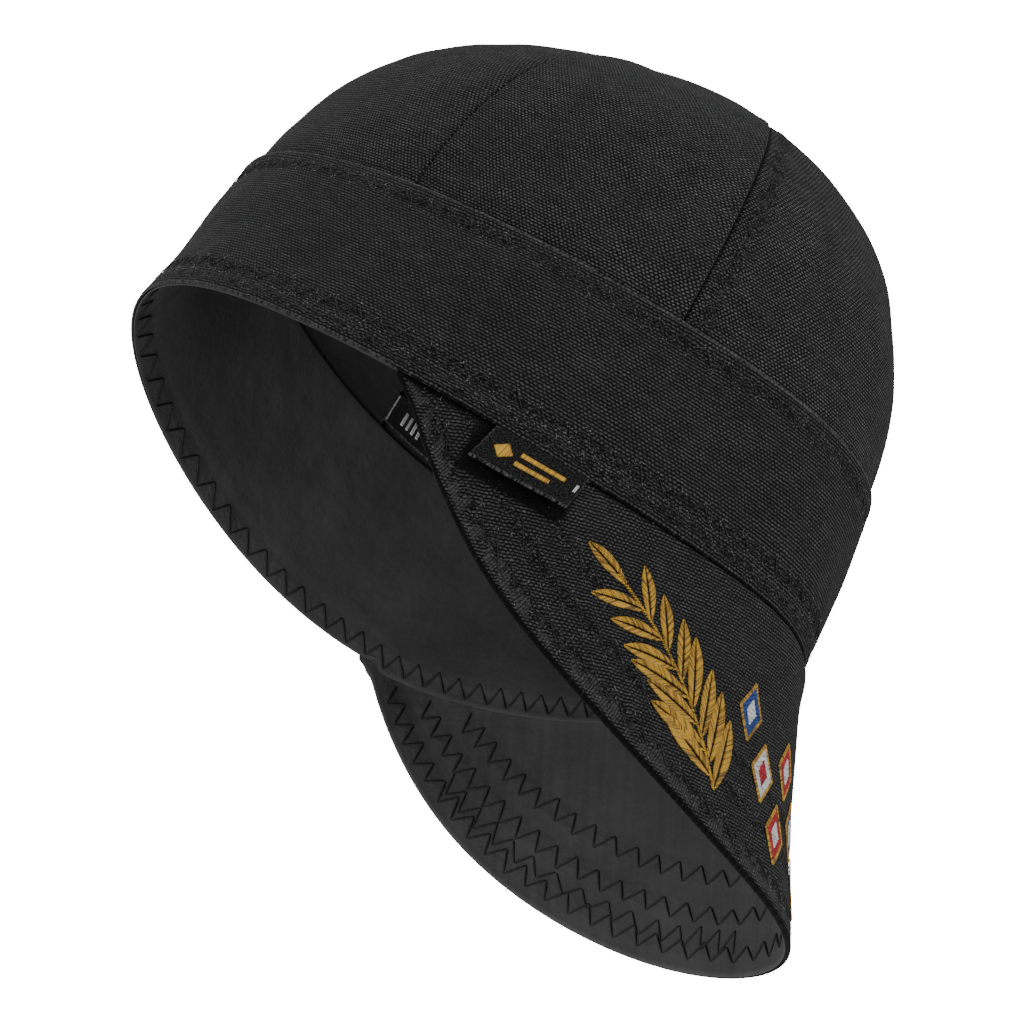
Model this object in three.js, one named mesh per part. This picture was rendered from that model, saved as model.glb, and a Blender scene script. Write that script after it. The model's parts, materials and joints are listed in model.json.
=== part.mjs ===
// Welding cap of black cotton duck, in millimetres, +Z up.
// The wearer looks along -Y and the wearer's right ear is on the -X side.
// The origin is the middle of the head opening, level with the rim at the forehead and the nape.
import * as THREE from 'three';

const DEG = Math.PI / 180;

// The rim is the lower edge of the side band. Its plan is an egg, wider behind the ears,
// and it hangs lower over the ears than at the front and the back.
const RIM = {
  halfLength: 101.5, halfWidth: 92.5, flat: -0.04, egg: 0.16, square: -0.04, brow: 0.11,
  shift: 0, height: 0, frontRise: 0, sideDrop: 17.7, rearDrop: 1.3,
};

// The upper edge of the side band, where the crown comes out of it.
const BAND_TOP = {
  halfLength: 95.7, halfWidth: 79.4, flat: -0.04, egg: -0.01, square: -0.05, brow: 0.03,
  shift: 0.6, height: 52, frontRise: -1.4, sideDrop: 14.9, rearDrop: -1.0,
};

// The crown rises from the band to a point that lies a little forward of the middle.
const CROWN = { height: 132.3, apexY: -15.4, roundPower: 2.65, risePower: 1.89, lap: 8, apexHole: 1.2 };
const CROWN_SEAMS = [0, 66.5, 116.5, 180];
const CROWN_PANELS = ['front', 'side', 'rear'];

// The brim is deepest over the eyes and runs out to nothing behind the ears.
const BRIM = {
  end: 98, lastSection: 96.8, frontDepth: 78.3, depthPower: 1.8, tuck: 7, endTuck: 2, tuckFade: 25,
  bow: -0.8, freeDepth: 24,
};
const BRIM_DROOP = [
  { at: -30, degrees: 73 },
  { at: 0, degrees: 67.5 },
  { at: 30, degrees: 73 },
  { at: 60, degrees: 79.5 },
  { at: 90, degrees: 95 },
  { at: 120, degrees: 100 },
];

// Cloth thicknesses, and the clearance between pieces that are sewn together.
const GAP = 0.3;
const BAND_WALL = 1.6;
const CROWN_WALL = 1.2;
const LINING_WALL = 1.0;
const BRIM_WALL = 1.8;
const TAB_WALL = 1.2;
const LABEL_WALL = 0.6;
const BAND_BULGE = 1.0;
const BRIM_CLEARANCE = 0.6;
const BRIM_INSET = BAND_WALL + BRIM_CLEARANCE + BRIM_WALL / 2;

// The lining strip inside the side band: it steps in over the tucked edge of the brim.
const LINING = { bottom: 0.012, top: 0.98, stepEnd: 0.17, blendEnd: 0.75, wideFrom: 98, wideTo: 116 };

// The woven tab in the seam over the right temple, and the size label inside the left rear.
const TAB = { from: 68.5, to: 83.5, drop: 11.2, start: 0.5, lift: 1.6 };
const LABEL = { from: -117.3, to: -103.5, bottom: 0.4, top: 10.5 };

const AROUND_STEP = 5;

const DUCK = { color: 0x333333, roughness: 0.92, metalness: 0 };
const INSIDE_DUCK = { color: 0x2b2b2b, roughness: 0.95, metalness: 0 };
const BRIM_DUCK = { color: 0x2f2f2f, roughness: 0.92, metalness: 0 };
const WOVEN_TAPE = { color: 0x171717, roughness: 0.6, metalness: 0 };

/** A smooth step from 0 at low to 1 at high. */
function ease(low, high, value) {
  return THREE.MathUtils.smoothstep(value, low, high);
}

/** The point of an edge of the band at an angle from the front, positive towards the wearer's right. */
function edgePoint(edge, angle) {
  const s = Math.sin(angle);
  const c = Math.cos(angle);
  const width = 1 - edge.egg * c + edge.square * Math.cos(2 * angle) + edge.brow * Math.max(c, 0) ** 4;
  return new THREE.Vector3(
    -edge.halfWidth * s * width,
    -edge.halfLength * c * (1 + edge.flat * s * s) + edge.shift,
    edge.height + edge.frontRise * c - edge.sideDrop * s * s + edge.rearDrop * s * s * c,
  );
}

/** The outward direction of a surface given by a function of angle and rise. */
function outward(surface, angle, rise) {
  const step = 0.002;
  const along = surface(angle - step, rise).sub(surface(angle + step, rise));
  const up = surface(angle, rise + step).sub(surface(angle, rise - step));
  return along.cross(up).normalize();
}

/** A point that lies off a surface by a distance along its outward direction. */
function offset(surface, angle, rise, distance) {
  return surface(angle, rise).addScaledVector(outward(surface, angle, rise), distance);
}

/** The outer face of the side band, from 0 at the rim to 1 at its upper edge. */
function bandSurface(angle, rise) {
  const point = edgePoint(RIM, angle).lerp(edgePoint(BAND_TOP, angle), rise);
  const plan = new THREE.Vector3(point.x, point.y, 0).normalize();
  return point.addScaledVector(plan, BAND_BULGE * 4 * rise * (1 - rise));
}

/** The outline that the crown is cut to, from 0 at the band's upper edge to 1 at the apex. */
function crownOutline(angle, rise) {
  const turn = rise * Math.PI / 2;
  const spread = Math.max(Math.cos(turn), 0);
  const lift = (1 - spread ** CROWN.roundPower) ** (1 / CROWN.risePower);
  const base = edgePoint(BAND_TOP, angle);
  return new THREE.Vector3(
    base.x * spread,
    CROWN.apexY + (base.y - CROWN.apexY) * spread,
    base.z + (CROWN.height - base.z) * lift,
  );
}

/** The crown's outer face. It lies inside the band below its upper edge, and swells above it. */
function crownSurface(angle, rise) {
  const inset = BAND_WALL + GAP;
  if (rise <= 0) {
    return offset(bandSurface, angle, 1 + rise, -inset);
  }
  const point = crownOutline(angle, rise);
  const start = outward(bandSurface, angle, 1);
  return point.addScaledVector(start, -inset * (1 - ease(0, 0.5, rise)));
}

/** The depth of the brim at an angle from the front. */
function brimDepth(angle) {
  const share = Math.min(Math.abs(angle) / (BRIM.end * DEG), 1);
  return BRIM.frontDepth * (1 - share * share) ** (BRIM.depthPower / 2);
}

/** How far the brim points below level at an angle from the front, smooth through the table's rows. */
function brimDroop(angle) {
  const degrees = Math.abs(angle) / DEG;
  const last = BRIM_DROOP.length - 3;
  const start = Math.min(Math.floor(degrees / BRIM_DROOP[2].at) + 1, last);
  const [before, low, high, after] = BRIM_DROOP.slice(start - 1, start + 3);
  const share = (degrees - low.at) / (high.at - low.at);
  const enter = (high.degrees - before.degrees) / 2;
  const leave = (after.degrees - low.degrees) / 2;
  const turn = share * share * (3 - 2 * share);
  const bend = share * (1 - share) * (enter * (1 - share) - leave * share);
  return (THREE.MathUtils.lerp(low.degrees, high.degrees, turn) + bend) * DEG;
}

/** The middle of the brim's thickness, from 0 at the rim to 1 at its free edge. */
function brimSurface(angle, reach) {
  const away = new THREE.Vector3(-Math.sin(angle) / RIM.halfWidth, -Math.cos(angle) / RIM.halfLength, 0);
  away.normalize();
  const droop = brimDroop(angle);
  const depth = brimDepth(angle);
  const bow = BRIM.bow * 4 * reach * (1 - reach) * depth / BRIM.frontDepth;
  const freed = (1 - (1 - reach) ** 2) * ease(0, BRIM.freeDepth, depth);
  const level = depth * reach * Math.cos(droop) + bow * Math.sin(droop) - BRIM_INSET * (1 - freed);
  const down = depth * reach * Math.sin(droop) - bow * Math.cos(droop);
  return edgePoint(RIM, angle).addScaledVector(away, level).add(new THREE.Vector3(0, 0, -down));
}

/** Evenly spaced values from first to last, both included. */
function steps(first, last, count) {
  return Array.from({ length: count + 1 }, (_, index) => first + (last - first) * index / count);
}

/**
 * A closed wall between two faces given on one grid of angles and rows.
 * Each face is a function of angle and row number; a ring joins its last angle to its first.
 */
function wall(name, angles, rows, outerFace, innerFace, ring, finish) {
  const across = rows + 1;
  const positions = [];
  for (const face of [outerFace, innerFace]) {
    for (const angle of angles) {
      for (let row = 0; row < across; row += 1) {
        positions.push(...face(angle, row).toArray());
      }
    }
  }
  const innerStart = angles.length * across;
  const index = [];
  const quad = (a, b, c, d) => index.push(a, b, c, a, c, d);
  const columns = ring ? angles.length : angles.length - 1;
  for (let column = 0; column < columns; column += 1) {
    const here = column * across;
    const next = ((column + 1) % angles.length) * across;
    for (let row = 0; row < rows; row += 1) {
      quad(here + row, here + row + 1, next + row + 1, next + row);
      const inner = innerStart + row;
      quad(inner + here, inner + next, inner + next + 1, inner + here + 1);
    }
    quad(here, next, innerStart + next, innerStart + here);
    quad(here + rows, innerStart + here + rows, innerStart + next + rows, next + rows);
  }
  if (!ring) {
    const last = columns * across;
    for (let row = 0; row < rows; row += 1) {
      quad(row, innerStart + row, innerStart + row + 1, row + 1);
      quad(last + row, last + row + 1, innerStart + last + row + 1, innerStart + last + row);
    }
  }
  const geometry = new THREE.BufferGeometry();
  geometry.setAttribute('position', new THREE.Float32BufferAttribute(positions, 3));
  geometry.setIndex(index);
  geometry.computeVertexNormals();
  const mesh = new THREE.Mesh(geometry, new THREE.MeshStandardMaterial(finish));
  mesh.name = name;
  return mesh;
}

/** The angles of a whole turn, the same for every ring so that their gaps hold. */
function wholeTurn() {
  return steps(-180, 180 - AROUND_STEP, 360 / AROUND_STEP - 1).map((degrees) => degrees * DEG);
}

/** The side band: a strip round the head with its lower edge at the rim. */
function sideBand() {
  const rises = steps(0, 1, 7);
  const outer = (angle, row) => bandSurface(angle, rises[row]);
  const inner = (angle, row) => offset(bandSurface, angle, rises[row], -BAND_WALL);
  return wall('side_band', wholeTurn(), rises.length - 1, outer, inner, true, DUCK);
}

/** How far the lining's outer face lies inside the band's outer face. */
function liningInset(angle, rise) {
  const degrees = Math.abs(angle) / DEG;
  const overBrim = 1 - ease(LINING.wideFrom, LINING.wideTo, degrees);
  const low = THREE.MathUtils.lerp(BAND_WALL + GAP, BRIM_INSET + BRIM_WALL / 2 + GAP, overBrim);
  const high = BAND_WALL + GAP + CROWN_WALL + GAP;
  return THREE.MathUtils.lerp(low, high, ease(LINING.stepEnd, LINING.blendEnd, rise));
}

/** The lining strip that shows inside the cap. */
function liningBand() {
  const rises = [LINING.bottom, LINING.stepEnd, 0.32, 0.46, 0.6, LINING.blendEnd, LINING.top];
  const face = (extra) => (angle, row) => (
    offset(bandSurface, angle, rises[row], -liningInset(angle, rises[row]) - extra)
  );
  return wall('lining_band', wholeTurn(), rises.length - 1, face(0), face(LINING_WALL), true, INSIDE_DUCK);
}

/** One gore of the crown, between two seams given in degrees from the front. */
function crownPanel(name, from, to) {
  const lapRise = -CROWN.lap / BAND_TOP.height;
  const lastRise = Math.acos(CROWN.apexHole / BAND_TOP.halfWidth) / (Math.PI / 2);
  const rises = [lapRise, lapRise / 2, ...steps(0, lastRise, 12)];
  const count = Math.round(Math.abs(to - from) / (AROUND_STEP + 1));
  const shares = steps(0, 1, count);
  const face = (depth) => (share, row) => {
    const rise = rises[row];
    const near = crownSurface((from + to) / 2 * DEG, rise);
    const beside = crownSurface(((from + to) / 2 + 1) * DEG, rise);
    const margin = GAP / 2 / near.distanceTo(beside);
    const angle = THREE.MathUtils.lerp(from + margin, to - margin, share) * DEG;
    return offset(crownSurface, angle, rise, -depth);
  };
  return wall(name, shares, rises.length - 1, face(0), face(CROWN_WALL), false, DUCK);
}

/** The six gores, mirrored left and right. */
function crownPanels() {
  return CROWN_PANELS.flatMap((place, index) => {
    const from = CROWN_SEAMS[index];
    const to = CROWN_SEAMS[index + 1];
    return [
      crownPanel(`crown_${place}_right`, from, to),
      crownPanel(`crown_${place}_left`, -to, -from),
    ];
  });
}

/** The brim, with its sewn edge tucked up between the side band and the lining. */
function brim() {
  const angles = steps(-1, 1, 40).map((share) => Math.sin(share * Math.PI / 2) * BRIM.lastSection * DEG);
  const tucks = [1, 0.5];
  const reaches = [0, 0.06, 0.15, 0.32, 0.5, 0.67, 0.84, 1];
  const face = (side) => (angle, row) => {
    if (row >= tucks.length) {
      return offset(brimSurface, angle, reaches[row - tucks.length], side * BRIM_WALL / 2);
    }
    const fade = ease(0, BRIM.tuckFade, BRIM.end - Math.abs(angle) / DEG);
    const rise = tucks[row] * (BRIM.endTuck + BRIM.tuck * fade) / BAND_TOP.height;
    return offset(bandSurface, angle, rise, -BRIM_INSET - side * BRIM_WALL / 2);
  };
  const rows = tucks.length + reaches.length - 1;
  return wall('brim', angles, rows, face(1), face(-1), false, BRIM_DUCK);
}

/** The folded tab of woven tape that hangs from the seam over the right temple. */
function wovenTab() {
  const angles = steps(TAB.from, TAB.to, 4).map((degrees) => degrees * DEG);
  const drops = steps(0, 1, 3);
  const face = (extra) => (angle, row) => {
    const reach = (TAB.start + TAB.drop * drops[row]) / brimDepth(angle);
    const stand = BRIM_WALL / 2 + GAP + TAB.lift * drops[row] ** 2 + extra;
    return offset(brimSurface, angle, reach, -stand);
  };
  return wall('woven_tab', angles, drops.length - 1, face(0), face(TAB_WALL), false, WOVEN_TAPE);
}

/** The size label, caught in the lining's upper seam and lying up against the crown. */
function sizeLabel() {
  const angles = steps(LABEL.from, LABEL.to, 3).map((degrees) => degrees * DEG);
  const heights = steps(LABEL.bottom, LABEL.top, 3);
  const face = (extra) => (angle, row) => {
    const full = CROWN.height - BAND_TOP.height + BAND_TOP.sideDrop;
    const spread = (1 - (heights[row] / full) ** CROWN.risePower) ** (1 / CROWN.roundPower);
    const rise = Math.acos(spread) / (Math.PI / 2);
    return offset(crownSurface, angle, rise, -CROWN_WALL - GAP - extra);
  };
  return wall('size_label', angles, heights.length - 1, face(0), face(LABEL_WALL), false, WOVEN_TAPE);
}

const cap = new THREE.Group();
cap.add(sideBand(), liningBand(), ...crownPanels(), brim(), wovenTab(), sizeLabel());

export default cap;
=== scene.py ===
"""Blender scene of a black canvas welder's cap, hung upright as a head holds it.

Sizes are in millimetres in the cap's own frame: the front is -Y, the wearer's
right is -X, and the lower edge of the side band lies near z = 0. Meshes are
written in metres. Angles go round the cap from the front towards its right.
"""
from __future__ import annotations

import json
import logging
import math
from dataclasses import dataclass, field
from enum import Enum
from typing import Callable, Union

import bpy
import numpy as np
from mathutils import Matrix, Vector

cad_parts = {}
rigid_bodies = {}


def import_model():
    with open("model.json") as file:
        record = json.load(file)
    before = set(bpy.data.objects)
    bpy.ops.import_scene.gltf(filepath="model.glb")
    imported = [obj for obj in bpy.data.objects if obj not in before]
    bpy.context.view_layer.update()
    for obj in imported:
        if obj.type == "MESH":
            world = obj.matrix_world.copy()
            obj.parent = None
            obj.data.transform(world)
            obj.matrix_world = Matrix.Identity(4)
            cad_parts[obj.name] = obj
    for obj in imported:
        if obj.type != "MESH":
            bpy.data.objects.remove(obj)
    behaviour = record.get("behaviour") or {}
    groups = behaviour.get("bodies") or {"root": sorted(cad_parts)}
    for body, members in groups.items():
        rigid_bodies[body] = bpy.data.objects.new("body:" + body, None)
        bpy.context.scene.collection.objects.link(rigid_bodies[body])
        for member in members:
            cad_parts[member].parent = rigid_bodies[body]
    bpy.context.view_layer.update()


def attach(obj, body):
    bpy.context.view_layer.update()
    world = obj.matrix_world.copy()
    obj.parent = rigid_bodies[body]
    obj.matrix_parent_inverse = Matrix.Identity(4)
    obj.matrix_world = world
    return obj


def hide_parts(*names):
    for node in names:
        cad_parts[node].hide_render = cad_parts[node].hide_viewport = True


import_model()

LOG = logging.getLogger("cap")
MM = 0.001
Array = np.ndarray
Colour = tuple[float, float, float]
Surface = Callable[[Array, Array], Array]
Face = Callable[[Array, Array], tuple[Array, Array]]
# How far the dark seam threads lie sunk in the cloth, in millimetres.
SUNK = 0.16


class Side(Enum):
    """A half of the cap, with the sign of its angles."""

    RIGHT = 1
    LEFT = -1


def step(low: float, high: float, value: Array) -> Array:
    """Returns a smooth step from 0 at low to 1 at high."""
    part = np.clip((value - low) / (high - low), 0.0, 1.0)
    return part * part * (3.0 - 2.0 * part)


def hump(value: Array, height: float, middle: float, width: float) -> Array:
    """Returns a smooth hump of a height round a middle, and 0 far from it."""
    return height * np.exp(-((value - middle) / width) ** 2)


def unit(vectors: Array) -> Array:
    """Returns the vectors at length 1."""
    return vectors / np.maximum(np.linalg.norm(vectors, axis=-1, keepdims=True), 1e-9)


# Shape of the cap


@dataclass(frozen=True)
class EdgeLine:
    """One edge line that runs round the cap, as a closed curve of the angle.

    Attributes:
        half_length: reach to the front and rear.
        half_width: reach to the sides.
        flat, egg, square, brow: departures of the plan from an ellipse.
        shift, height: where the curve's middle sits in Y and Z.
        front_rise, side_drop, rear_drop: its rise at the front and falls elsewhere.
    """

    half_length: float
    half_width: float
    flat: float
    egg: float
    square: float
    brow: float
    shift: float
    height: float
    front_rise: float
    side_drop: float
    rear_drop: float

    def at(self, theta: Array) -> Array:
        """Works out points of the line.

        Args:
            theta: the angles in radians.

        Returns:
            The points.
        """
        s, c = np.sin(theta), np.cos(theta)
        wide = 1 - self.egg * c + self.square * np.cos(2 * theta)
        wide = wide + self.brow * np.maximum(c, 0) ** 4
        x = -self.half_width * s * wide
        y = -self.half_length * c * (1 + self.flat * s * s) + self.shift
        z = self.height + self.front_rise * c - self.side_drop * s * s
        z = z + self.rear_drop * s * s * c
        return np.stack([x, y, z], axis=-1)


@dataclass(frozen=True)
class CapShape:
    """The surfaces that every cloth piece of the cap follows.

    Attributes:
        rim, top: lower and upper edge lines of the side band.
        apex_y, apex_z: where the crown seams meet.
        round_power, rise_power: fullness of the crown.
        bulge: how far the side band swells between its edges.
        crown_inset: how far the crown cloth lies inside the band's face.
        brim_end: angle in degrees where the brim runs out.
        brim_depth: depth of the brim at the front.
        brim_power: how fully the brim keeps its depth towards its ends.
        brim_inset: how far the brim lies inside the band's face.
        brim_tail: depth of the narrow tail at each end of the brim.
        front_full, rear_full: how far the band's upper edge stands out there.
        brim_bow: how far the brim swells between its edges, below 0 for a hollow.
        brim_free: depth over which the brim comes clear of the band.
        droop: angle round the cap and the brim's fall there, both in degrees.
        rear_hollow: depth of the band's hollow behind, then its middle and width.
        front_flare: how far the band's lower front edge stands out.
        behind_dip: depth of the dip over the rear gores, then its middle and width.
        brow_swell, brow_dip: the same for the swell and the dip over the forehead.
        root_swell: how far the brim's root bulges in front, and over what reach.
        tail_in, tail_out: degrees over which the brim's tail begins and ends.
    """

    rim: EdgeLine = EdgeLine(101.5, 92.5, -0.04, 0.16, -0.04, 0.11, 0.0, 0.0, 0.0, 17.7, 1.3)
    top: EdgeLine = EdgeLine(95.7, 79.4, -0.04, -0.01, -0.05, 0.03, 0.6, 52.0, -1.4, 14.9, -1.0)
    apex_y: float = -15.4
    apex_z: float = 132.3
    round_power: float = 2.65
    rise_power: float = 1.89
    bulge: float = 1.0
    crown_inset: float = 1.9
    brim_end: float = 98.0
    brim_depth: float = 77.6
    brim_power: float = 1.8
    brim_inset: float = 1.9
    brim_tail: float = 2.2
    front_full: float = 3.1
    rear_full: float = 1.3
    brim_bow: float = -1.3
    brim_free: float = 24.0
    droop: tuple[tuple[float, float], ...] = (
        (-30, 73), (0, 67.5), (30, 73), (60, 79.5), (90, 95), (120, 100),
    )
    rear_hollow: tuple[float, float, float] = (1.6, 0.36, 0.22)
    front_flare: float = 0.5
    behind_dip: tuple[float, float, float] = (1.3, 0.57, 0.14)
    brow_swell: tuple[float, float, float] = (1.9, 0.68, 0.15)
    brow_dip: tuple[float, float, float] = (2.4, 0.36, 0.17)
    root_swell: tuple[float, float] = (1.9, 0.05)
    tail_in: tuple[float, float] = (95.0, 98.5)
    tail_out: tuple[float, float] = (97.5, 100.6)

    def outward(self, theta: Array) -> Array:
        """Returns the level direction away from the head."""
        return unit(np.stack([-np.sin(theta) / self.rim.half_width,
                              -np.cos(theta) / self.rim.half_length, 0 * theta], -1))

    def band_height(self, theta: Array) -> Array:
        """Returns the side band's height at each angle."""
        return np.linalg.norm(self.top.at(theta) - self.rim.at(theta), axis=-1)

    def band_rise(self, theta: Array) -> Array:
        """Returns the direction up the side band at each angle."""
        return unit(self.top.at(theta) - self.rim.at(theta))

    def fullness(self, theta: Array) -> Array:
        """Returns how far the band's upper edge stands out at the front and rear."""
        ahead = np.cos(theta)
        return (self.front_full * np.maximum(ahead, 0) ** 1.5
                + self.rear_full * np.maximum(-ahead, 0) ** 2)

    def band(self, theta: Array, up: Array) -> Array:
        """Works out points on the band's outer face.

        Args:
            theta: the angles.
            up: share of the band's height, 0 at the rim.

        Returns:
            The points.
        """
        rim, top = self.rim.at(theta), self.top.at(theta)
        swell = self.bulge * 4 * up * (1 - up) + self.fullness(theta) * up
        swell = swell - np.maximum(-np.cos(theta), 0) ** 2 * hump(up, *self.rear_hollow)
        swell = swell + self.front_flare * np.maximum(np.cos(theta), 0) ** 2 * (1 - up)
        return rim + (top - rim) * up[..., None] + self.outward(theta) * swell[..., None]

    def crown(self, theta: Array, rise: Array) -> Array:
        """Works out points on the crown cloth.

        Args:
            theta: the angles.
            rise: from below 0 inside the band, over 0 at its upper edge, to 1 at the apex.

        Returns:
            The points.
        """
        under = self.band(theta, 1 + np.minimum(rise, 0))
        edge = self.top.at(theta) + self.outward(theta) * self.fullness(theta)[..., None]
        part = np.clip(rise, 0, 1)
        spread = np.cos(part * math.pi / 2)
        lift = (1 - spread ** self.round_power) ** (1 / self.rise_power)
        over = np.stack([
            edge[..., 0] * spread,
            self.apex_y + (edge[..., 1] - self.apex_y) * spread,
            edge[..., 2] + (self.apex_z - edge[..., 2]) * lift,
        ], axis=-1)
        behind = step(45, 115, np.abs(np.degrees(theta)))
        over[..., 2] -= behind * hump(part, *self.behind_dip) * (1 - part ** 6)
        brow = hump(part, *self.brow_swell) - hump(part, *self.brow_dip)
        brow = brow * np.maximum(np.cos(theta), 0) ** 1.5 * step(0, 0.06, part)
        face = normals(self.band, theta, np.ones_like(theta))
        inset = -self.crown_inset * (1 - step(0, 0.5, part))
        over = over + self.outward(theta) * brow[..., None]
        return np.where(rise[..., None] > 0, over, under) + face * inset[..., None]

    def droop_at(self, theta: Array) -> Array:
        """Works out how steeply the brim falls, as a smooth curve through the table.

        Args:
            theta: the angles.

        Returns:
            The fall in radians below level.
        """
        at = np.array([row[0] for row in self.droop], float)
        fall = np.array([row[1] for row in self.droop], float)
        degrees = np.abs(np.degrees(theta))
        slope = np.gradient(fall, at)
        slope[1:-1] = (fall[2:] - fall[:-2]) / (at[2:] - at[:-2])
        slot = np.clip(np.searchsorted(at, degrees, side="right") - 1, 0, len(at) - 2)
        width = at[slot + 1] - at[slot]
        part = (degrees - at[slot]) / width
        h00 = 2 * part ** 3 - 3 * part ** 2 + 1
        h10 = part ** 3 - 2 * part ** 2 + part
        h01, h11 = 1 - h00, part ** 3 - part ** 2
        result = h00 * fall[slot] + h01 * fall[slot + 1]
        return np.radians(result + width * (h10 * slope[slot] + h11 * slope[slot + 1]))

    def depth_at(self, theta: Array) -> Array:
        """Works out the brim's depth from the rim to its free edge.

        Args:
            theta: the angles.

        Returns:
            The depths.
        """
        degrees = np.abs(np.degrees(theta))
        part = np.maximum(1 - (degrees / self.brim_end) ** 2, 0)
        tail = step(*self.tail_in, degrees) * (1 - step(*self.tail_out, degrees))
        tail = self.brim_tail * tail
        return self.brim_depth * part ** (self.brim_power / 2) + tail

    def brim(self, theta: Array, reach: Array) -> Array:
        """Works out points on the brim's middle layer.

        Args:
            theta: the angles.
            reach: share of the depth, 0 at the rim and 1 at the free edge.

        Returns:
            The points.
        """
        rim, depth, fall = self.rim.at(theta), self.depth_at(theta), self.droop_at(theta)
        bow = self.brim_bow * 4 * reach * (1 - reach) * depth / self.brim_depth
        free = (1 - (1 - np.clip(reach, 0, 1)) ** 6) * step(0, self.brim_free, depth)
        ahead = depth * reach * np.cos(fall) + bow * np.sin(fall)
        tail = 1 - 0.72 * step(95.5, 99.5, np.abs(np.degrees(theta)))
        ahead = ahead - self.brim_inset * tail * (1 - free)
        swell, over = self.root_swell
        ahead = ahead + np.maximum(np.cos(theta), 0) ** 2 * (
            swell * reach / over * np.exp(1 - np.maximum(reach, 0) / over))
        drop = depth * reach * np.sin(fall) - bow * np.cos(fall)
        down = np.stack([0 * drop, 0 * drop, -drop], axis=-1)
        return rim + self.outward(theta) * ahead[..., None] + down


def normals(surface: Surface, theta: Array, along: Array, flip: bool = False) -> Array:
    """Works out the outward normals of a surface by small steps.

    Args:
        surface: the surface, as a function of the angle and a second measure.
        theta: the angles.
        along: the second measure, which grows upwards unless flip is set.
        flip: True for a surface whose second measure grows downwards.

    Returns:
        The unit normals.
    """
    small = 1e-3
    round_step = surface(theta + small, along) - surface(theta - small, along)
    up_step = surface(theta, along + small) - surface(theta, along - small)
    sign = -1.0 if flip else 1.0
    return unit(sign * np.cross(up_step, round_step))


@dataclass(frozen=True)
class Drape:
    """Soft hollows and swells of loose cloth, as a sum of slow waves.

    Attributes:
        seed: the draw for the waves.
        size: about how far apart the swells are.
        height: about how far they stand out.
        waves: how many there are.
    """

    seed: int
    size: float
    height: float
    waves: int = 10

    def at(self, points: Array) -> Array:
        """Works out how far the cloth stands out.

        Args:
            points: places on the cloth.

        Returns:
            The distance at each place.
        """
        draw = np.random.default_rng(self.seed)
        ways = unit(draw.normal(size=(self.waves, 3)))
        lengths = self.size * draw.uniform(0.7, 1.7, self.waves)
        phases = draw.uniform(0, 2 * math.pi, self.waves)
        turns = points @ (ways * (2 * math.pi / lengths)[:, None]).T + phases
        return self.height * np.sin(turns).sum(axis=-1) / math.sqrt(self.waves)


# Shader sums


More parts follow.
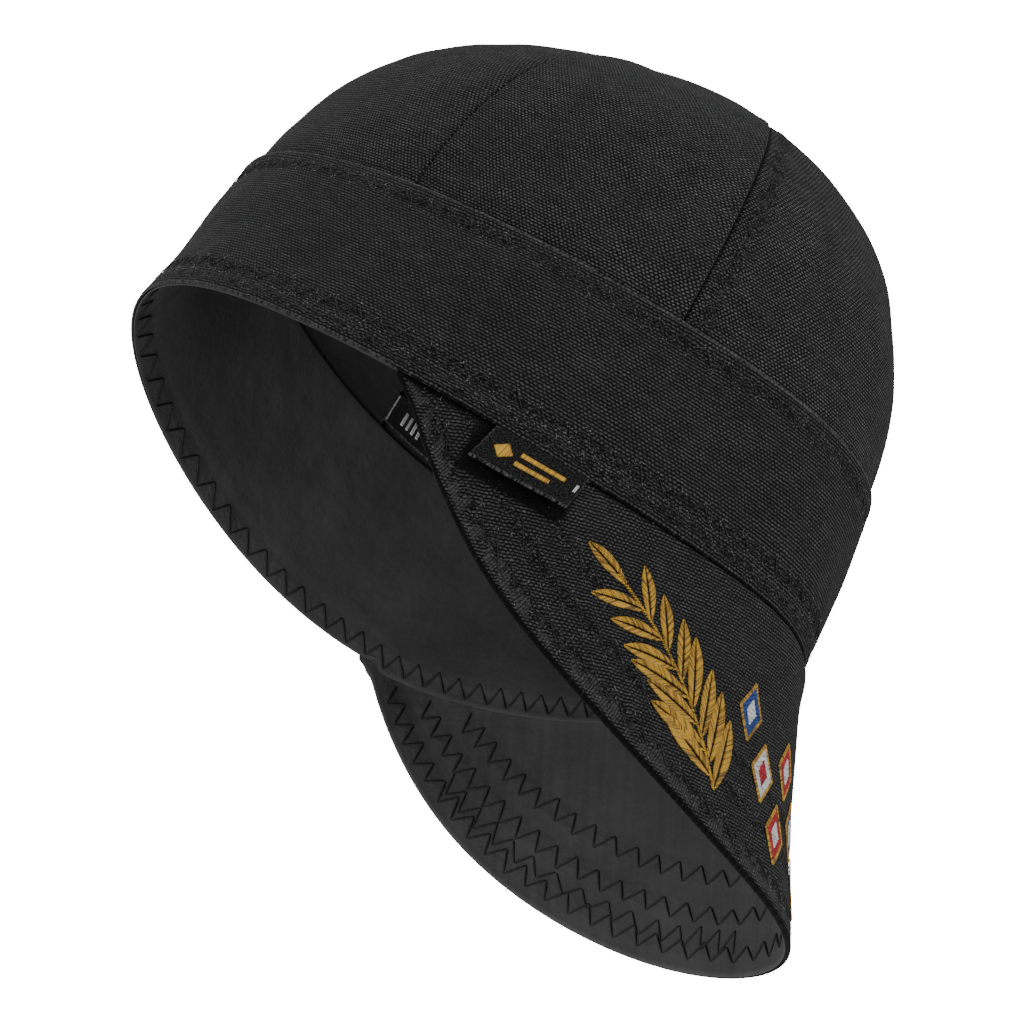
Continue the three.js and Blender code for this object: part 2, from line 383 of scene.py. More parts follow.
class NodeBench:
    """A material's node tree, with one way to add any node."""

    def __init__(self, name: str) -> None:
        """Starts a new material with an empty tree.

        Args:
            name: name of the material.
        """
        self.material = bpy.data.materials.new(name)
        self.material.use_nodes = True
        self.tree = self.material.node_tree
        self.tree.nodes.clear()

    def node(self, kind: str, settings: dict | None = None,
             sockets: dict | None = None) -> bpy.types.Node:
        """Adds a node.

        Args:
            kind: the node's type name.
            settings: properties that are set first.
            sockets: values or links of its inputs, by name or number.

        Returns:
            The new node.
        """
        made = self.tree.nodes.new(kind)
        for key, value in (settings or {}).items():
            setattr(made, key, value)
        for key, value in (sockets or {}).items():
            self.plug(made.inputs[key], value)
        return made

    def plug(self, target: bpy.types.NodeSocket, value: object) -> None:
        """Links a socket or sets its value.

        Args:
            target: the input socket.
            value: a number, a colour, a level or another socket.
        """
        if isinstance(value, Level):
            value = value.socket
        if isinstance(value, bpy.types.NodeSocket):
            self.tree.links.new(value, target)
        else:
            target.default_value = value

    def level(self, node: bpy.types.Node, output: Union[str, int] = 0) -> "Level":
        """Wraps a node's output as a number for sums."""
        return Level(self, node.outputs[output])

    def noise(self, vector: object, scale: float, detail: float = 2.0,
              rough: float = 0.5) -> "Level":
        """Adds a noise pattern and returns its strength from 0 to 1."""
        made = self.node("ShaderNodeTexNoise", {"noise_dimensions": "3D"}, {
            "Vector": vector, "Scale": scale, "Detail": detail, "Roughness": rough})
        return self.level(made, "Fac")

    def point(self, x: object, y: object, z: object = 0.0) -> bpy.types.NodeSocket:
        """Joins three numbers to a vector."""
        return self.node("ShaderNodeCombineXYZ", {}, {0: x, 1: y, 2: z}).outputs[0]

    def map(self, name: str) -> tuple["Level", "Level"]:
        """Reads one of the piece's own maps.

        Args:
            name: name of the map.

        Returns:
            Its two numbers in millimetres.
        """
        source = self.node("ShaderNodeUVMap", {"uv_map": name})
        split = self.node("ShaderNodeSeparateXYZ", {}, {0: source.outputs[0]})
        return self.level(split, 0) * 1000.0, self.level(split, 1) * 1000.0

    def blend(self, share: object, first: object, second: object) -> bpy.types.NodeSocket:
        """Mixes two colours.

        Args:
            share: share of the second colour.
            first, second: colours or their sockets.

        Returns:
            The socket of the mixed colour.
        """
        made = self.node("ShaderNodeMix", {"data_type": "RGBA"}, {0: share})
        for slot, value in ((6, first), (7, second)):
            self.plug(made.inputs[slot], (*value, 1.0) if isinstance(value, tuple) else value)
        return made.outputs[2]

    def scaled(self, colour: Colour, shade: object) -> bpy.types.NodeSocket:
        """Returns a colour made brighter or darker by a level."""
        return self.node("ShaderNodeVectorMath", {"operation": "SCALE"}, {
            0: colour, "Scale": shade}).outputs[0]

    def bump(self, height: object, distance: float, strength: float = 1.0,
             normal: object = None) -> bpy.types.NodeSocket:
        """Adds a bump.

        Args:
            height: the height that it follows.
            distance: how high that is, in millimetres.
            strength: share of the bump that is used.
            normal: the socket of a bump under this one.

        Returns:
            Its normal socket.
        """
        made = self.node("ShaderNodeBump", {}, {
            "Height": height, "Distance": distance * MM, "Strength": strength})
        if normal is not None:
            self.plug(made.inputs["Normal"], normal)
        return made.outputs[0]

    def finish(self, sockets: dict) -> bpy.types.Material:
        """Adds the shader and the output.

        Args:
            sockets: values or links of the shader's inputs by name.

        Returns:
            The finished material.
        """
        shader = self.node("ShaderNodeBsdfPrincipled", {}, sockets)
        self.node("ShaderNodeOutputMaterial", {}, {0: shader.outputs[0]})
        return self.material


class Level:
    """A number carried by a socket. Sums on it add Math nodes."""

    def __init__(self, bench: NodeBench, socket: bpy.types.NodeSocket) -> None:
        """Keeps the bench and the socket."""
        self.bench, self.socket = bench, socket

    def sum(self, operation: str, *values: object) -> "Level":
        """Adds a Math node with these inputs and returns its result."""
        made = self.bench.node("ShaderNodeMath", {"operation": operation},
                               dict(enumerate(values)))
        return Level(self.bench, made.outputs[0])

    def __add__(self, other: object) -> "Level":
        """Returns the sum."""
        return self.sum("ADD", self, other)

    def __sub__(self, other: object) -> "Level":
        """Returns the difference."""
        return self.sum("SUBTRACT", self, other)

    def __mul__(self, other: object) -> "Level":
        """Returns the product."""
        return self.sum("MULTIPLY", self, other)

    def __truediv__(self, other: object) -> "Level":
        """Returns the quotient."""
        return self.sum("DIVIDE", self, other)

    def __pow__(self, other: object) -> "Level":
        """Returns the power."""
        return self.sum("POWER", self, other)

    def __rsub__(self, other: object) -> "Level":
        """Returns a number less this one."""
        return self.sum("SUBTRACT", other, self)

    __radd__, __rmul__ = __add__, __mul__

    def wave(self) -> "Level":
        """Returns the sine."""
        return self.sum("SINE", self)

    def size(self) -> "Level":
        """Returns the absolute value."""
        return self.sum("ABSOLUTE", self)

    def whole(self) -> "Level":
        """Returns the next lower whole number."""
        return self.sum("FLOOR", self)

    def least(self, floor: float) -> "Level":
        """Returns the number, or the floor where it is lower."""
        return self.sum("MAXIMUM", self, floor)

    def fade(self, low: float, high: float, start: float = 0.0, end: float = 1.0) -> "Level":
        """Returns a smooth step between two limits, from start to end."""
        made = self.bench.node("ShaderNodeMapRange", {"interpolation_type": "SMOOTHSTEP"}, {
            "Value": self, "From Min": low, "From Max": high, "To Min": start, "To Max": end})
        return self.bench.level(made)

    def toward(self, share: "Level", other: object) -> "Level":
        """Returns this number moved towards another by a share."""
        made = self.bench.node("ShaderNodeMix", {"data_type": "FLOAT"}, {
            0: share, 2: self, 3: other})
        return self.bench.level(made)


# Finishes


@dataclass(frozen=True)
class Duck:
    """Heavy plain-woven cotton canvas, with thick uneven yarns and bits of lint, its weave
    painted in as light and shade.

    Attributes:
        name: name of the material.
        colour: colour of the yarns.
        pitch_x, pitch_y: spacing of the yarns along the map's two ways.
        gap, crest: where the gap between two level yarns ends and their crest begins.
        dash: how far the level yarns dip where the upright yarns cross over them.
        grain: how uneven the fibres are.
        speck: colour of the bright bits of lint.
        wear_and_highlight: how strongly the edge that the map named rows measures from is
            painted pale: worn fibres at the bare rim and a painted highlight on the band's
            folded upper edge.
        groove: width of the dark line along that edge, painted shade where the cloth turns into
            a seam or round the brim's free edge.
    """

    name: str
    colour: Colour = (0.066, 0.066, 0.067)
    pitch_x: float = 0.62
    pitch_y: float = 0.93
    gap: float = 0.38
    crest: float = 1.20
    dash: float = 0.44
    grain: float = 4.6
    speck: Colour = (0.20, 0.20, 0.205)
    wear_and_highlight: float = 0.0
    groove: float = 0.0

    def make(self) -> bpy.types.Material:
        """Builds the material.

        Returns:
            The material.
        """
        bench = NodeBench(self.name)
        x, y = bench.map("cloth")
        row, hem = bench.map("rows")
        place = bench.point(x, y)
        sewn = row.fade(0.7, 3.1, 1.0, 0.0)
        ruck = sewn * 1.7 + 0.9
        shift_x = (bench.noise(place, 0.42, 3.0, 0.6) - 0.5) * ruck
        shift_y = (bench.noise(bench.point(y, x, 9.0), 0.42, 3.0, 0.6) - 0.5) * ruck
        across = (x + shift_x) / self.pitch_x
        upward = (y + shift_y) / self.pitch_y
        yarn = bench.noise(bench.point(x * 0.16, upward.whole() * 5.17, 3.0), 1.0, 1.0)
        line = (upward * math.pi).wave().size()
        over = (across * math.pi).wave() * (upward * math.pi).wave()
        loose = bench.noise(bench.point(x, y, 8.0), 0.20, 2.0).fade(0.3, 0.7, 0.6, 1.3)
        height = (line + over * loose * self.dash).fade(self.gap, self.crest)
        fibre = bench.noise(place, 2.1, 2.0, 0.75) - 0.5
        cloud = bench.noise(place, 0.05, 3.0) - 0.5
        patch = bench.noise(bench.point(x, y, 2.0), 0.26, 2.0) - 0.5
        # Painted light: the yarns' crests are painted bright as their highlights and the gaps
        # between them dark as their shade.
        shade = height * 1.35 + 0.02
        shade, height = self.drawn(bench, shade, height)
        shade = shade * ((yarn - 0.5) * 1.1 + 1.0) * (fibre * self.grain + 1.0)
        shade = shade * (cloud * 0.5 + 1.0) * (patch * 0.8 + 1.0)
        # Painted shade: dark patches in the puckers that the stitching draws up beside its
        # rows.
        dents = bench.noise(bench.point(x, y, 7.0), 0.62, 1.0).fade(0.53, 0.64) * sewn
        shade = shade * (1.0 - dents * 0.75)
        # Pale marks along the edge: worn fibres at the bare rim, and a painted highlight where
        # the band's folded upper edge catches the light.
        if self.wear_and_highlight:
            pale = hem.fade(0.2, 1.0, 1.0, 0.0) * bench.noise(place, 1.1, 1.0).fade(0.36, 0.6)
            shade = shade + pale * self.wear_and_highlight * 0.7
        # Painted shade: a dark line where the cloth turns into a seam's groove or round the
        # brim's free edge.
        if self.groove:
            shade = shade * hem.fade(self.groove * 0.5, self.groove, 0.03, 1.0)
        shade = self.shadow(bench, shade).least(0.02)
        specks = bench.noise(bench.point(x, y, 4.0), 1.9, 1.0, 0.4).fade(0.72, 0.78)
        mostly_sewn = sewn * 0.85 + 0.15
        base = bench.blend(specks * mostly_sewn, bench.scaled(self.colour, shade), self.speck)
        creases = bench.noise(bench.point(x, y, 1.0), 0.40, 2.0, 0.6) * mostly_sewn
        soft = bench.bump(creases - dents * 0.25, 1.1, 0.9)
        fine = bench.bump(height + fibre * 0.6, 0.20, 1.0, soft)
        return bench.finish({
            "Base Color": base, "Roughness": 0.85, "Normal": fine,
            "Specular IOR Level": 0.14, "Sheen Weight": 0.05, "Sheen Roughness": 0.45,
            "Sheen Tint": (0.75, 0.76, 0.8, 1.0)})

    def drawn(self, bench: NodeBench, shade: Level, height: Level) -> tuple[Level, Level]:
        """Returns the weave's brightness and height as they are, for plain cloth."""
        return shade, height

    def shadow(self, bench: NodeBench, shade: Level) -> Level:
        """Returns the brightness as it is, for a cloth that gets no painted shadow."""
        return shade


@dataclass(frozen=True)
class BrimDuck(Duck):
    """The brim's canvas, drawn into ribs near its edge, with shadow painted under the band's
    edge and under the tab.
    """

    def drawn(self, bench: NodeBench, shade: Level, height: Level) -> tuple[Level, Level]:
        """Works in the short ribs that the hem stitching draws up beside the edge, their crests
        painted lighter and their hollows darker.

        Args:
            bench: the material's bench.
            shade: brightness of the plain weave.
            height: height of the plain weave.

        Returns:
            The brightness and height with the ribs.
        """
        _, along = bench.map("edge")
        _, inward = bench.map("rows")
        uneven = bench.noise(bench.point(along, inward * 0.6, 5.0), 0.22, 1.0)
        limit = (along * (math.pi / 8.6)).wave().size() * 2.4
        share = inward.fade(0.9, 1.6) * (inward - limit).fade(3.2, 4.4, 1.0, 0.0)
        share = share * uneven.fade(0.40, 0.52) * 0.75
        ribs = ((along + inward * 0.3 + uneven * 2.0) * (math.pi / 0.85)).wave().size()
        # Painted light: the ribs go into the brightness as well as the height, crests lighter
        # and hollows darker.
        return shade.toward(share, ribs * 1.25 + 0.1), height.toward(share, ribs)

    def shadow(self, bench: NodeBench, shade: Level) -> Level:
        """Paints shadow into the colour where the band's lower edge and the tab shade the brim,
        and on the cloth tucked up under the band.
        """
        below, _ = bench.map("edge")
        return shade * below.fade(0.5, 1.7, 0.03, 1.0)


@dataclass(frozen=True)
class Twill:
    """Smoother dark cloth of the inner faces, with faint lengthwise streaks.

    Attributes:
        name: name of the material.
        colour: colour of the cloth.
        streaks: how strong the streaks are.
        pitch: spacing of the twill's ribs.
    """

    name: str
    colour: Colour = (0.0235, 0.0235, 0.024)
    streaks: float = 1.0
    pitch: float = 0.42

    def make(self) -> bpy.types.Material:
        """Builds the material.

        Returns:
            The material.
        """
        bench = NodeBench(self.name)
        x, y = bench.map("cloth")
        row, hem = bench.map("rows")
        place = bench.point(x, y)
        sewn = row.fade(0.5, 4.5, 1.0, 0.0)
        rib = ((x + y) * (math.pi / self.pitch)).wave().size() ** 0.6
        thread = ((x - y) * (math.pi / self.pitch)).wave().size() ** 0.6
        streak = bench.noise(bench.point(x * 0.45, y * 0.02, 2.0), 1.0, 2.0)
        cloud = bench.noise(place, 0.045, 3.0)
        # Painted shade: the hollows between the twill's ribs are painted a little darker.
        shade = (rib * 0.16 + 0.84) * (thread * 0.06 + 0.94)
        shade = shade * (streak * 0.5 * self.streaks + 0.75) * (cloud * 0.7 + 0.65)
        shade = shade * hem.fade(0.2, 1.2, 1.35, 1.0)
        creases = bench.noise(bench.point(x, y, 6.0), 0.11, 3.0, 0.55)
        pucker = bench.noise(bench.point(x, y, 1.0), 0.35, 2.0) * sewn
        soft = bench.bump(creases, 1.6, 0.5)
        tight = bench.bump(pucker, 0.9, 0.7, soft)
        fine = bench.bump(rib + thread * 0.4, 0.05, 0.6, tight)
        return bench.finish({
            "Base Color": bench.scaled(self.colour, shade), "Roughness": 0.78, "Normal": fine,
            "Specular IOR Level": 0.3, "Sheen Weight": 0.08, "Sheen Roughness": 0.4,
            "Sheen Tint": (0.8, 0.8, 0.84, 1.0)})


@dataclass(frozen=True)
class Yarn:
    """Twisted sewing or embroidery thread.

    Attributes:
        name: name of the material.
        colour: colour of the thread.
        dark: colour painted into the twist's hollows as their shade.
        roughness: gloss of the thread.
        twist: length of one turn of the twist.
        sheen: share of the soft shine of loose fibres.
    """

    name: str
    colour: Colour
    dark: Colour
    roughness: float = 0.5
    twist: float = 0.55
    sheen: float = 0.0

    def make(self) -> bpy.types.Material:
        """Builds the material.

        Returns:
            The material.
        """
        bench = NodeBench(self.name)
        x, y = bench.map("cloth")
        turns = ((x / self.twist + y * 0.8) * math.pi).wave().size()
        tone = bench.node("ShaderNodeAttribute", {"attribute_name": "tone"})
        light = bench.level(tone, "Fac")
        fuzz = bench.noise(bench.point(x, y, light * 40.0), 3.0, 2.0)
        # Painted shade: the twist's hollows blend towards the dark colour; each thread's drawn
        # tone and the fuzz vary it at random.
        share = (turns * 0.5 + 0.4) * (light * 1.15 + 0.2) + (fuzz - 0.5) * 0.7
        base = bench.blend(share.fade(0.0, 1.0), self.dark, self.colour)
        fine = bench.bump(turns + fuzz * 0.4, 0.06, 0.7)
        return bench.finish({
            "Base Color": base, "Roughness": self.roughness, "Normal": fine,
            "Specular IOR Level": 0.45, "Sheen Weight": self.sheen})


@dataclass(frozen=True)
class Tape:
    """Woven label tape with fine ribs across it.

    Attributes:
        name: name of the material.
        colour: colour of the tape.
        pale: colour of its rubbed edge.
        specks: how uneven its threads are.
        rib_pitch, warp_pitch: spacing of the ribs and of the threads across them.
    """

    name: str
    colour: Colour = (0.013, 0.013, 0.0135)
    pale: Colour = (0.30, 0.30, 0.31)
    specks: float = 13.0
    rib_pitch: float = 0.36
    warp_pitch: float = 0.30

    def make(self) -> bpy.types.Material:
        """Builds the material.

        Returns:
            The material.
        """
        bench = NodeBench(self.name)
        x, y = bench.map("cloth")
        _, hem = bench.map("rows")
        rib = (y * (math.pi / self.rib_pitch)).wave().size() ** 0.6
        warp = (x * (math.pi / self.warp_pitch)).wave().size() ** 0.6
        speck = (bench.noise(bench.point(x, y), 2.0, 1.0, 0.8) - 0.5) * self.specks + 1.0
        edge = hem.fade(0.15, 0.7, 1.0, 0.0) * bench.noise(
            bench.point(x, y, 3.0), 1.6, 1.0).fade(0.42, 0.62)
        base = bench.blend(edge * 0.3, (0.0, 0.0, 0.0), self.pale)
        # Painted shade: the hollows between the tape's ribs and threads are painted darker; the
        # specks are random tone.
        shade = (rib * 0.5 + 0.6) * (warp * 0.4 + 0.7) * speck.least(0.05)
        total = bench.node("ShaderNodeVectorMath", {"operation": "ADD"}, {
            0: bench.scaled(self.colour, shade), 1: base})
        fine = bench.bump(rib + warp * 0.6 + speck * 0.5, 0.10, 1.0)
        return bench.finish({
            "Base Color": total.outputs[0], "Roughness": 0.8, "Normal": fine,
            "Specular IOR Level": 0.15})


class Shelf:
    """The finishes in use, each made once."""

    def __init__(self) -> None:
        """Starts with none made."""
        self.made: dict[str, bpy.types.Material] = {}

    def get(self, finish: Union[Duck, Twill, Yarn, Tape]) -> bpy.types.Material:
        """Finds the material of a finish, and builds it the first time.

        Args:
            finish: the finish.

        Returns:
            Its material.
        """
        if finish.name not in self.made:
            self.made[finish.name] = finish.make()
        return self.made[finish.name]


INNER = Twill("inner_cloth", (0.059, 0.059, 0.060), 0.4)
INNER_BRIM = Twill("inner_brim_cloth", (0.060, 0.060, 0.061), 1.0)
# Painted light: band, brim and crown are one black canvas; the crown's copy (default colour) is
# painted lighter and the band's darker, set for how brightly each part is lit.
BAND_DUCK = Duck("band_canvas", (0.048, 0.048, 0.049), pitch_x=0.655, pitch_y=0.95, dash=0.29,
                 wear_and_highlight=1.7)
BRIM_DUCK = BrimDuck("brim_canvas", (0.051, 0.051, 0.052), pitch_x=0.65, pitch_y=0.865,
                     dash=0.31, groove=0.5)
CROWN_DUCK = Duck("crown_canvas", pitch_x=0.545, pitch_y=0.86, groove=0.85)
BLACK_YARN = Yarn("black_seam_thread", (0.010, 0.010, 0.010), (0.003, 0.003, 0.003), 0.6)
TONAL_YARN = Yarn("dark_seam_thread", (0.018, 0.018, 0.0185), (0.005, 0.005, 0.005), 0.7)
LINT = Yarn("pale_lint", (0.42, 0.42, 0.425), (0.09, 0.09, 0.091), 0.8)
GOLD_YARN = Yarn("gold_embroidery_thread", (0.74, 0.42, 0.035), (0.10, 0.045, 0.006), 0.38, 0.8)
GOLD_SILK = Yarn("gold_label_thread", (0.86, 0.50, 0.05), (0.35, 0.17, 0.02), 0.45, 0.8)
BLUE_YARN = Yarn("blue_embroidery_thread", (0.02, 0.085, 0.36), (0.006, 0.025, 0.14), 0.42, 0.8)
RED_YARN = Yarn("red_embroidery_thread", (0.60, 0.012, 0.03), (0.22, 0.004, 0.01), 0.42, 0.8)
WHITE_YARN = Yarn("white_embroidery_thread", (0.86, 0.86, 0.86), (0.45, 0.45, 0.46), 0.5, 0.8)
BLACK_TAPE = Tape("black_woven_tape")
SATIN_TAPE = Tape("black_satin_tape", (0.034, 0.034, 0.0345), specks=0.8)


# Mesh work


def lone(made: bpy.types.Object) -> None:
    """Leaves one object alone selected and active.

    Args:
        made: the object.
    """
    for other in bpy.context.view_layer.objects:
        other.select_set(other is made)
    bpy.context.view_layer.objects.active = made


def in_edit(made: bpy.types.Object, *steps: Callable[[], object]) -> None:
    """Runs edit-mode steps on everything in one object.

    Args:
        made: the object.
        steps: calls that act on what is selected.
    """
    lone(made)
    bpy.ops.object.mode_set(mode="EDIT")
    bpy.ops.mesh.select_all(action="SELECT")
    for call in steps:
        call()
    bpy.ops.object.mode_set(mode="OBJECT")


def paint_map(mesh: bpy.types.Mesh, name: str, values: Array) -> None:
    """Writes one map.

    Args:
        mesh: the mesh that gets it.
        name: name of the map.
        values: a pair of numbers for each corner point, in millimetres.
    """
    corner = np.zeros(len(mesh.loops), np.int32)
    mesh.loops.foreach_get("vertex_index", corner)
    layer = mesh.uv_layers.new(name=name)
    layer.data.foreach_set("uv", (values[corner] * MM).astype(np.float32).ravel())


@dataclass
class Weft:
    """A sheet of cloth laid out as columns round the cap and rows across it.

    Attributes:
        name: name of the object.
        points: places of the corners, rows by columns by 3.
        maps: map name to rows by columns by 2, in millimetres.
        patch: finish number of each row of faces.
    """

    name: str
    points: Array
    maps: dict[str, Array]
    patch: Array | None = None

    def build(self) -> bpy.types.Object:
        """Makes the object from a grid whose corners are laid on the cloth.

        Returns:
            The object.
        """
        rows, columns = self.points.shape[:2]
        bpy.ops.mesh.primitive_grid_add(
            x_subdivisions=columns - 1, y_subdivisions=rows - 1, size=1.0, calc_uvs=False)
        made = bpy.context.object
        made.name = made.data.name = self.name
        flat = np.zeros(len(made.data.vertices) * 3)
        made.data.vertices.foreach_get("co", flat)
        flat = flat.reshape(-1, 3) + 0.5
        column = np.rint(flat[:, 0] * (columns - 1)).astype(int)
        row = np.rint(flat[:, 1] * (rows - 1)).astype(int)
        made.data.vertices.foreach_set("co", (self.points[row, column] * MM).ravel())
        for name, values in self.maps.items():
            paint_map(made.data, name, values[row, column])
        if self.patch is not None:
            lowest = np.array([min(row[list(poly.vertices)]) for poly in made.data.polygons])
            made.data.polygons.foreach_set(
                "material_index", self.patch[lowest].astype(np.int32))
        made.data.update()
        return made


def sew_on(made: bpy.types.Object, slot: str, *nodes: str) -> None:
    """Lets a finished piece ride on the cap, hides the CAD nodes that it replaces and logs its
    faces.

    Args:
        made: the piece.
        slot: name of its finish slot; not used.
        nodes: the CAD nodes that it replaces.
    """
    made.location = (0.0, 0.0, 0.0)
    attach(made, "root")
    if nodes:
        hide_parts(*nodes)
    LOG.info("%s: %d faces", made.name, len(made.data.polygons))


def join_seam() -> None:
    """Joins the corners that meet where a sheet closes on itself."""
    bpy.ops.mesh.remove_doubles(threshold=1e-5)


def face_out() -> None:
    """Turns every face of a closed mesh outwards."""
    bpy.ops.mesh.normals_make_consistent(inside=False)


def dress(made: bpy.types.Object, finishes: tuple[bpy.types.Material, ...],
          *steps: Callable[[], object]) -> None:
    """Gives a cloth piece its finishes, works on its mesh and smooths it.

    Args:
        made: the piece, which is left selected and active.
        finishes: its materials, in the order of its patches' numbers.
        steps: edit-mode steps on all of its mesh.
    """
    for finish in finishes:
        made.data.materials.append(finish)
    if steps:
        in_edit(made, *steps)
    lone(made)
    bpy.ops.object.shade_smooth()


def thicken(made: bpy.types.Object, wall: float, inner: int = 0) -> None:
    """Gives the active sheet a wall behind its face.

    Args:
        made: the sheet.
        wall: thickness in millimetres.
        inner: how many finishes after that of the face the one of its back comes.
    """
    added = made.modifiers.new("wall", "SOLIDIFY")
    added.thickness, added.offset, added.material_offset = wall * MM, -1.0, inner
    bpy.ops.object.modifier_apply(modifier=added.name)


@dataclass
class Stitches:
    """Many short lengths of thread that become one mesh.

    Attributes:
        name: name of the object.
        finish: the thread.
        width, tall: cross size of a thread.
        sides: corners round a thread.
        rings: shares of its length where a thread has corners.
        starts, ends, faces_out, bends: the threads laid so far.
    """

    name: str
    finish: Yarn
    width: float = 0.5
    tall: float = 0.36
    sides: int = 6
    rings: tuple[float, ...] = (0.0, 0.10, 0.35, 0.65, 0.90, 1.0)
    starts: list[Array] = field(default_factory=list)
    ends: list[Array] = field(default_factory=list)
    faces_out: list[Array] = field(default_factory=list)
    bends: list[Array] = field(default_factory=list)

    def lay(self, starts: Array, ends: Array, out: Array, middles: Array | None = None) -> None:
        """Adds threads to the piece.

        Args:
            starts, ends: places of the threads' ends.
            out: the cloth's normals there.
            middles: places halfway, where the cloth under a thread is curved.
        """
        self.starts.append(starts)
        self.ends.append(ends)
        self.faces_out.append(out)
        straight = (starts + ends) / 2
        self.bends.append((straight if middles is None else middles) - straight)

    def sew(self, surface: Face, at: Array, across: Array,
            keep: Array | slice = slice(None)) -> None:
        """Adds a row of threads that run from each needle hole to the next.

        Args:
            surface: gives the places and the cloth's normals for two measures.
            at, across: the two measures of the needle holes.
            keep: which of the threads are seen and so are made.
        """
        points, out = surface(at, across)
        middles, _ = surface((at[:-1] + at[1:]) / 2, (across[:-1] + across[1:]) / 2)
        self.lay(points[:-1][keep], points[1:][keep], out[:-1][keep], middles[keep])

    def fray(self, surface: Face, at: Array, across: Array, seed: int,
             fibres: int = 5) -> None:
        """Adds short loose fibres round each needle hole.

        Args:
            surface: gives the places and the cloth's normals for two measures.
            at, across: the two measures of the needle holes.
            seed: the draw for the fibres.
            fibres: how many there are round each hole.
        """
        draw = np.random.default_rng(seed)
        for _ in range(fibres):
            turn = draw.uniform(0, 2 * math.pi, len(at))
            half = draw.uniform(0.12, 0.42, len(at))
            along = at + draw.normal(0, 0.75, len(at))
            aside = across + draw.normal(0, 0.6, len(at))
            starts, out = surface(along - half * np.cos(turn), aside - half * np.sin(turn))
            ends, _ = surface(along + half * np.cos(turn), aside + half * np.sin(turn))
            self.lay(starts + out * SUNK, ends + out * SUNK, out)

    def template(self) -> tuple[Array, Array]:
        """Models one thread and returns its corners and its quads.

        Returns:
            Corners as (place along, across, up) and faces as corner numbers.
        """
        bpy.ops.mesh.primitive_grid_add(
            x_subdivisions=len(self.rings) - 1, y_subdivisions=self.sides,
            size=1.0, calc_uvs=False)
        made = bpy.context.object
        flat = np.array([v.co for v in made.data.vertices]) + 0.5
        ring = np.rint(flat[:, 0] * (len(self.rings) - 1)).astype(int)
        turn = np.rint(flat[:, 1] * self.sides) / self.sides * 2 * math.pi
        along = np.array(self.rings)[ring]
        full = np.sqrt(np.clip(1 - np.abs(along * 2 - 1) ** 6, 0.0, 1.0))
        shape = np.stack([along, np.cos(turn) * full, np.sin(turn) * full], -1)
        made.data.vertices.foreach_set("co", shape.ravel())
        in_edit(made, lambda: bpy.ops.mesh.remove_doubles(threshold=1e-4))
        corners = np.array([v.co for v in made.data.vertices])
        faces = [list(poly.vertices) for poly in made.data.polygons]
        bpy.data.objects.remove(made)
        return corners, faces

    def build(self, shelf: Shelf, seed: int = 1) -> bpy.types.Object:
        """Joins all the threads into one object with its finish.

        Args:
            shelf: the finishes.
            seed: the draw for the threads' tones.

        Returns:
            The object.
        """
        corners, faces = self.template()
        starts, ends = np.concatenate(self.starts), np.concatenate(self.ends)
        out = np.concatenate(self.faces_out)
        count, size = len(starts), len(corners)
        way = ends - starts
        length = np.linalg.norm(way, axis=1)
        ahead = unit(way)
        beside = unit(np.cross(out, ahead))
        up = np.cross(ahead, beside)
        arch = np.sin(corners[:, 0] * math.pi)
        bow = (4 * corners[:, 0] * (1 - corners[:, 0]))[None, :, None]
        points = starts[:, None] + way[:, None] * corners[None, :, :1]
        points = points + np.concatenate(self.bends)[:, None] * bow
        points = points + beside[:, None] * corners[None, :, 1:2] * self.width / 2
        lift = corners[:, 2] * self.tall / 2 + (arch ** 0.5) * self.tall * 0.45
        points = points + up[:, None] * lift[None, :, None]
        mesh = bpy.data.meshes.new(self.name)
        shift = np.arange(count)[:, None] * size
        listed = [row.tolist() for face in faces for row in np.array(face)[None] + shift]
        mesh.from_pydata((points.reshape(-1, 3) * MM).tolist(), [], listed)
        lengthwise = corners[None, :, 0] * length[:, None]
        around = np.arctan2(corners[:, 2], corners[:, 1]) * 0.2 + 0 * lengthwise
        paint_map(mesh, "cloth", np.stack([lengthwise, around], -1).reshape(-1, 2))
        draw = np.random.default_rng(seed)
        tone = np.repeat(draw.uniform(0, 1, count), size)
        mesh.attributes.new("tone", "FLOAT", "POINT").data.foreach_set(
            "value", tone.astype(np.float32))
        mesh.polygons.foreach_set("use_smooth", np.ones(len(mesh.polygons), bool))
        mesh.materials.append(shelf.get(self.finish))
        made = bpy.data.objects.new(self.name, mesh)
        bpy.context.scene.collection.objects.link(made)
        return made


@dataclass(frozen=True)
class Zigzag:
    """A row of zigzag stitching.

    Attributes:
        pitch: distance between two points on the same side of the row.
        reach: half the row's width.
        wander: how unevenly it is sewn.
        seed: the draw for that unevenness.
    """

    pitch: float = 5.2
    reach: float = 2.2
    wander: float = 0.25
    seed: int = 3

    def along(self, length: float) -> tuple[Array, Array]:
        """Works out where the needle goes down.

        Args:
            length: length of the row.

        Returns:
            Measures along the row and across it.
        """
        count = max(2, int(round(length / self.pitch * 2)))
        at = np.arange(count + 1) * (length / count)
        side = np.where(np.arange(count + 1) % 2 == 0, 1.0, -1.0) * self.reach
        draw = np.random.default_rng(self.seed)
        return (at + draw.normal(0, self.wander, count + 1),
                side + draw.normal(0, self.wander, count + 1))


def spaced(surface: Surface, theta: Array, along: Array) -> Array:
    """Measures a line on a surface from its first point.

    Args:
        surface: the surface.
        theta, along: the line's two measures.

    Returns:
        The running length.
    """
    points = surface(theta, along)
    steps = np.linalg.norm(np.diff(points, axis=0), axis=1)
    return np.concatenate([[0.0], np.cumsum(steps)])


def pressed(above: Array) -> Array:
    """Returns the share of its thickness that cloth keeps at a height over the rim."""
    return 0.28 + 0.72 * step(-1.5, 10.0, above)


# Sub-assemblies


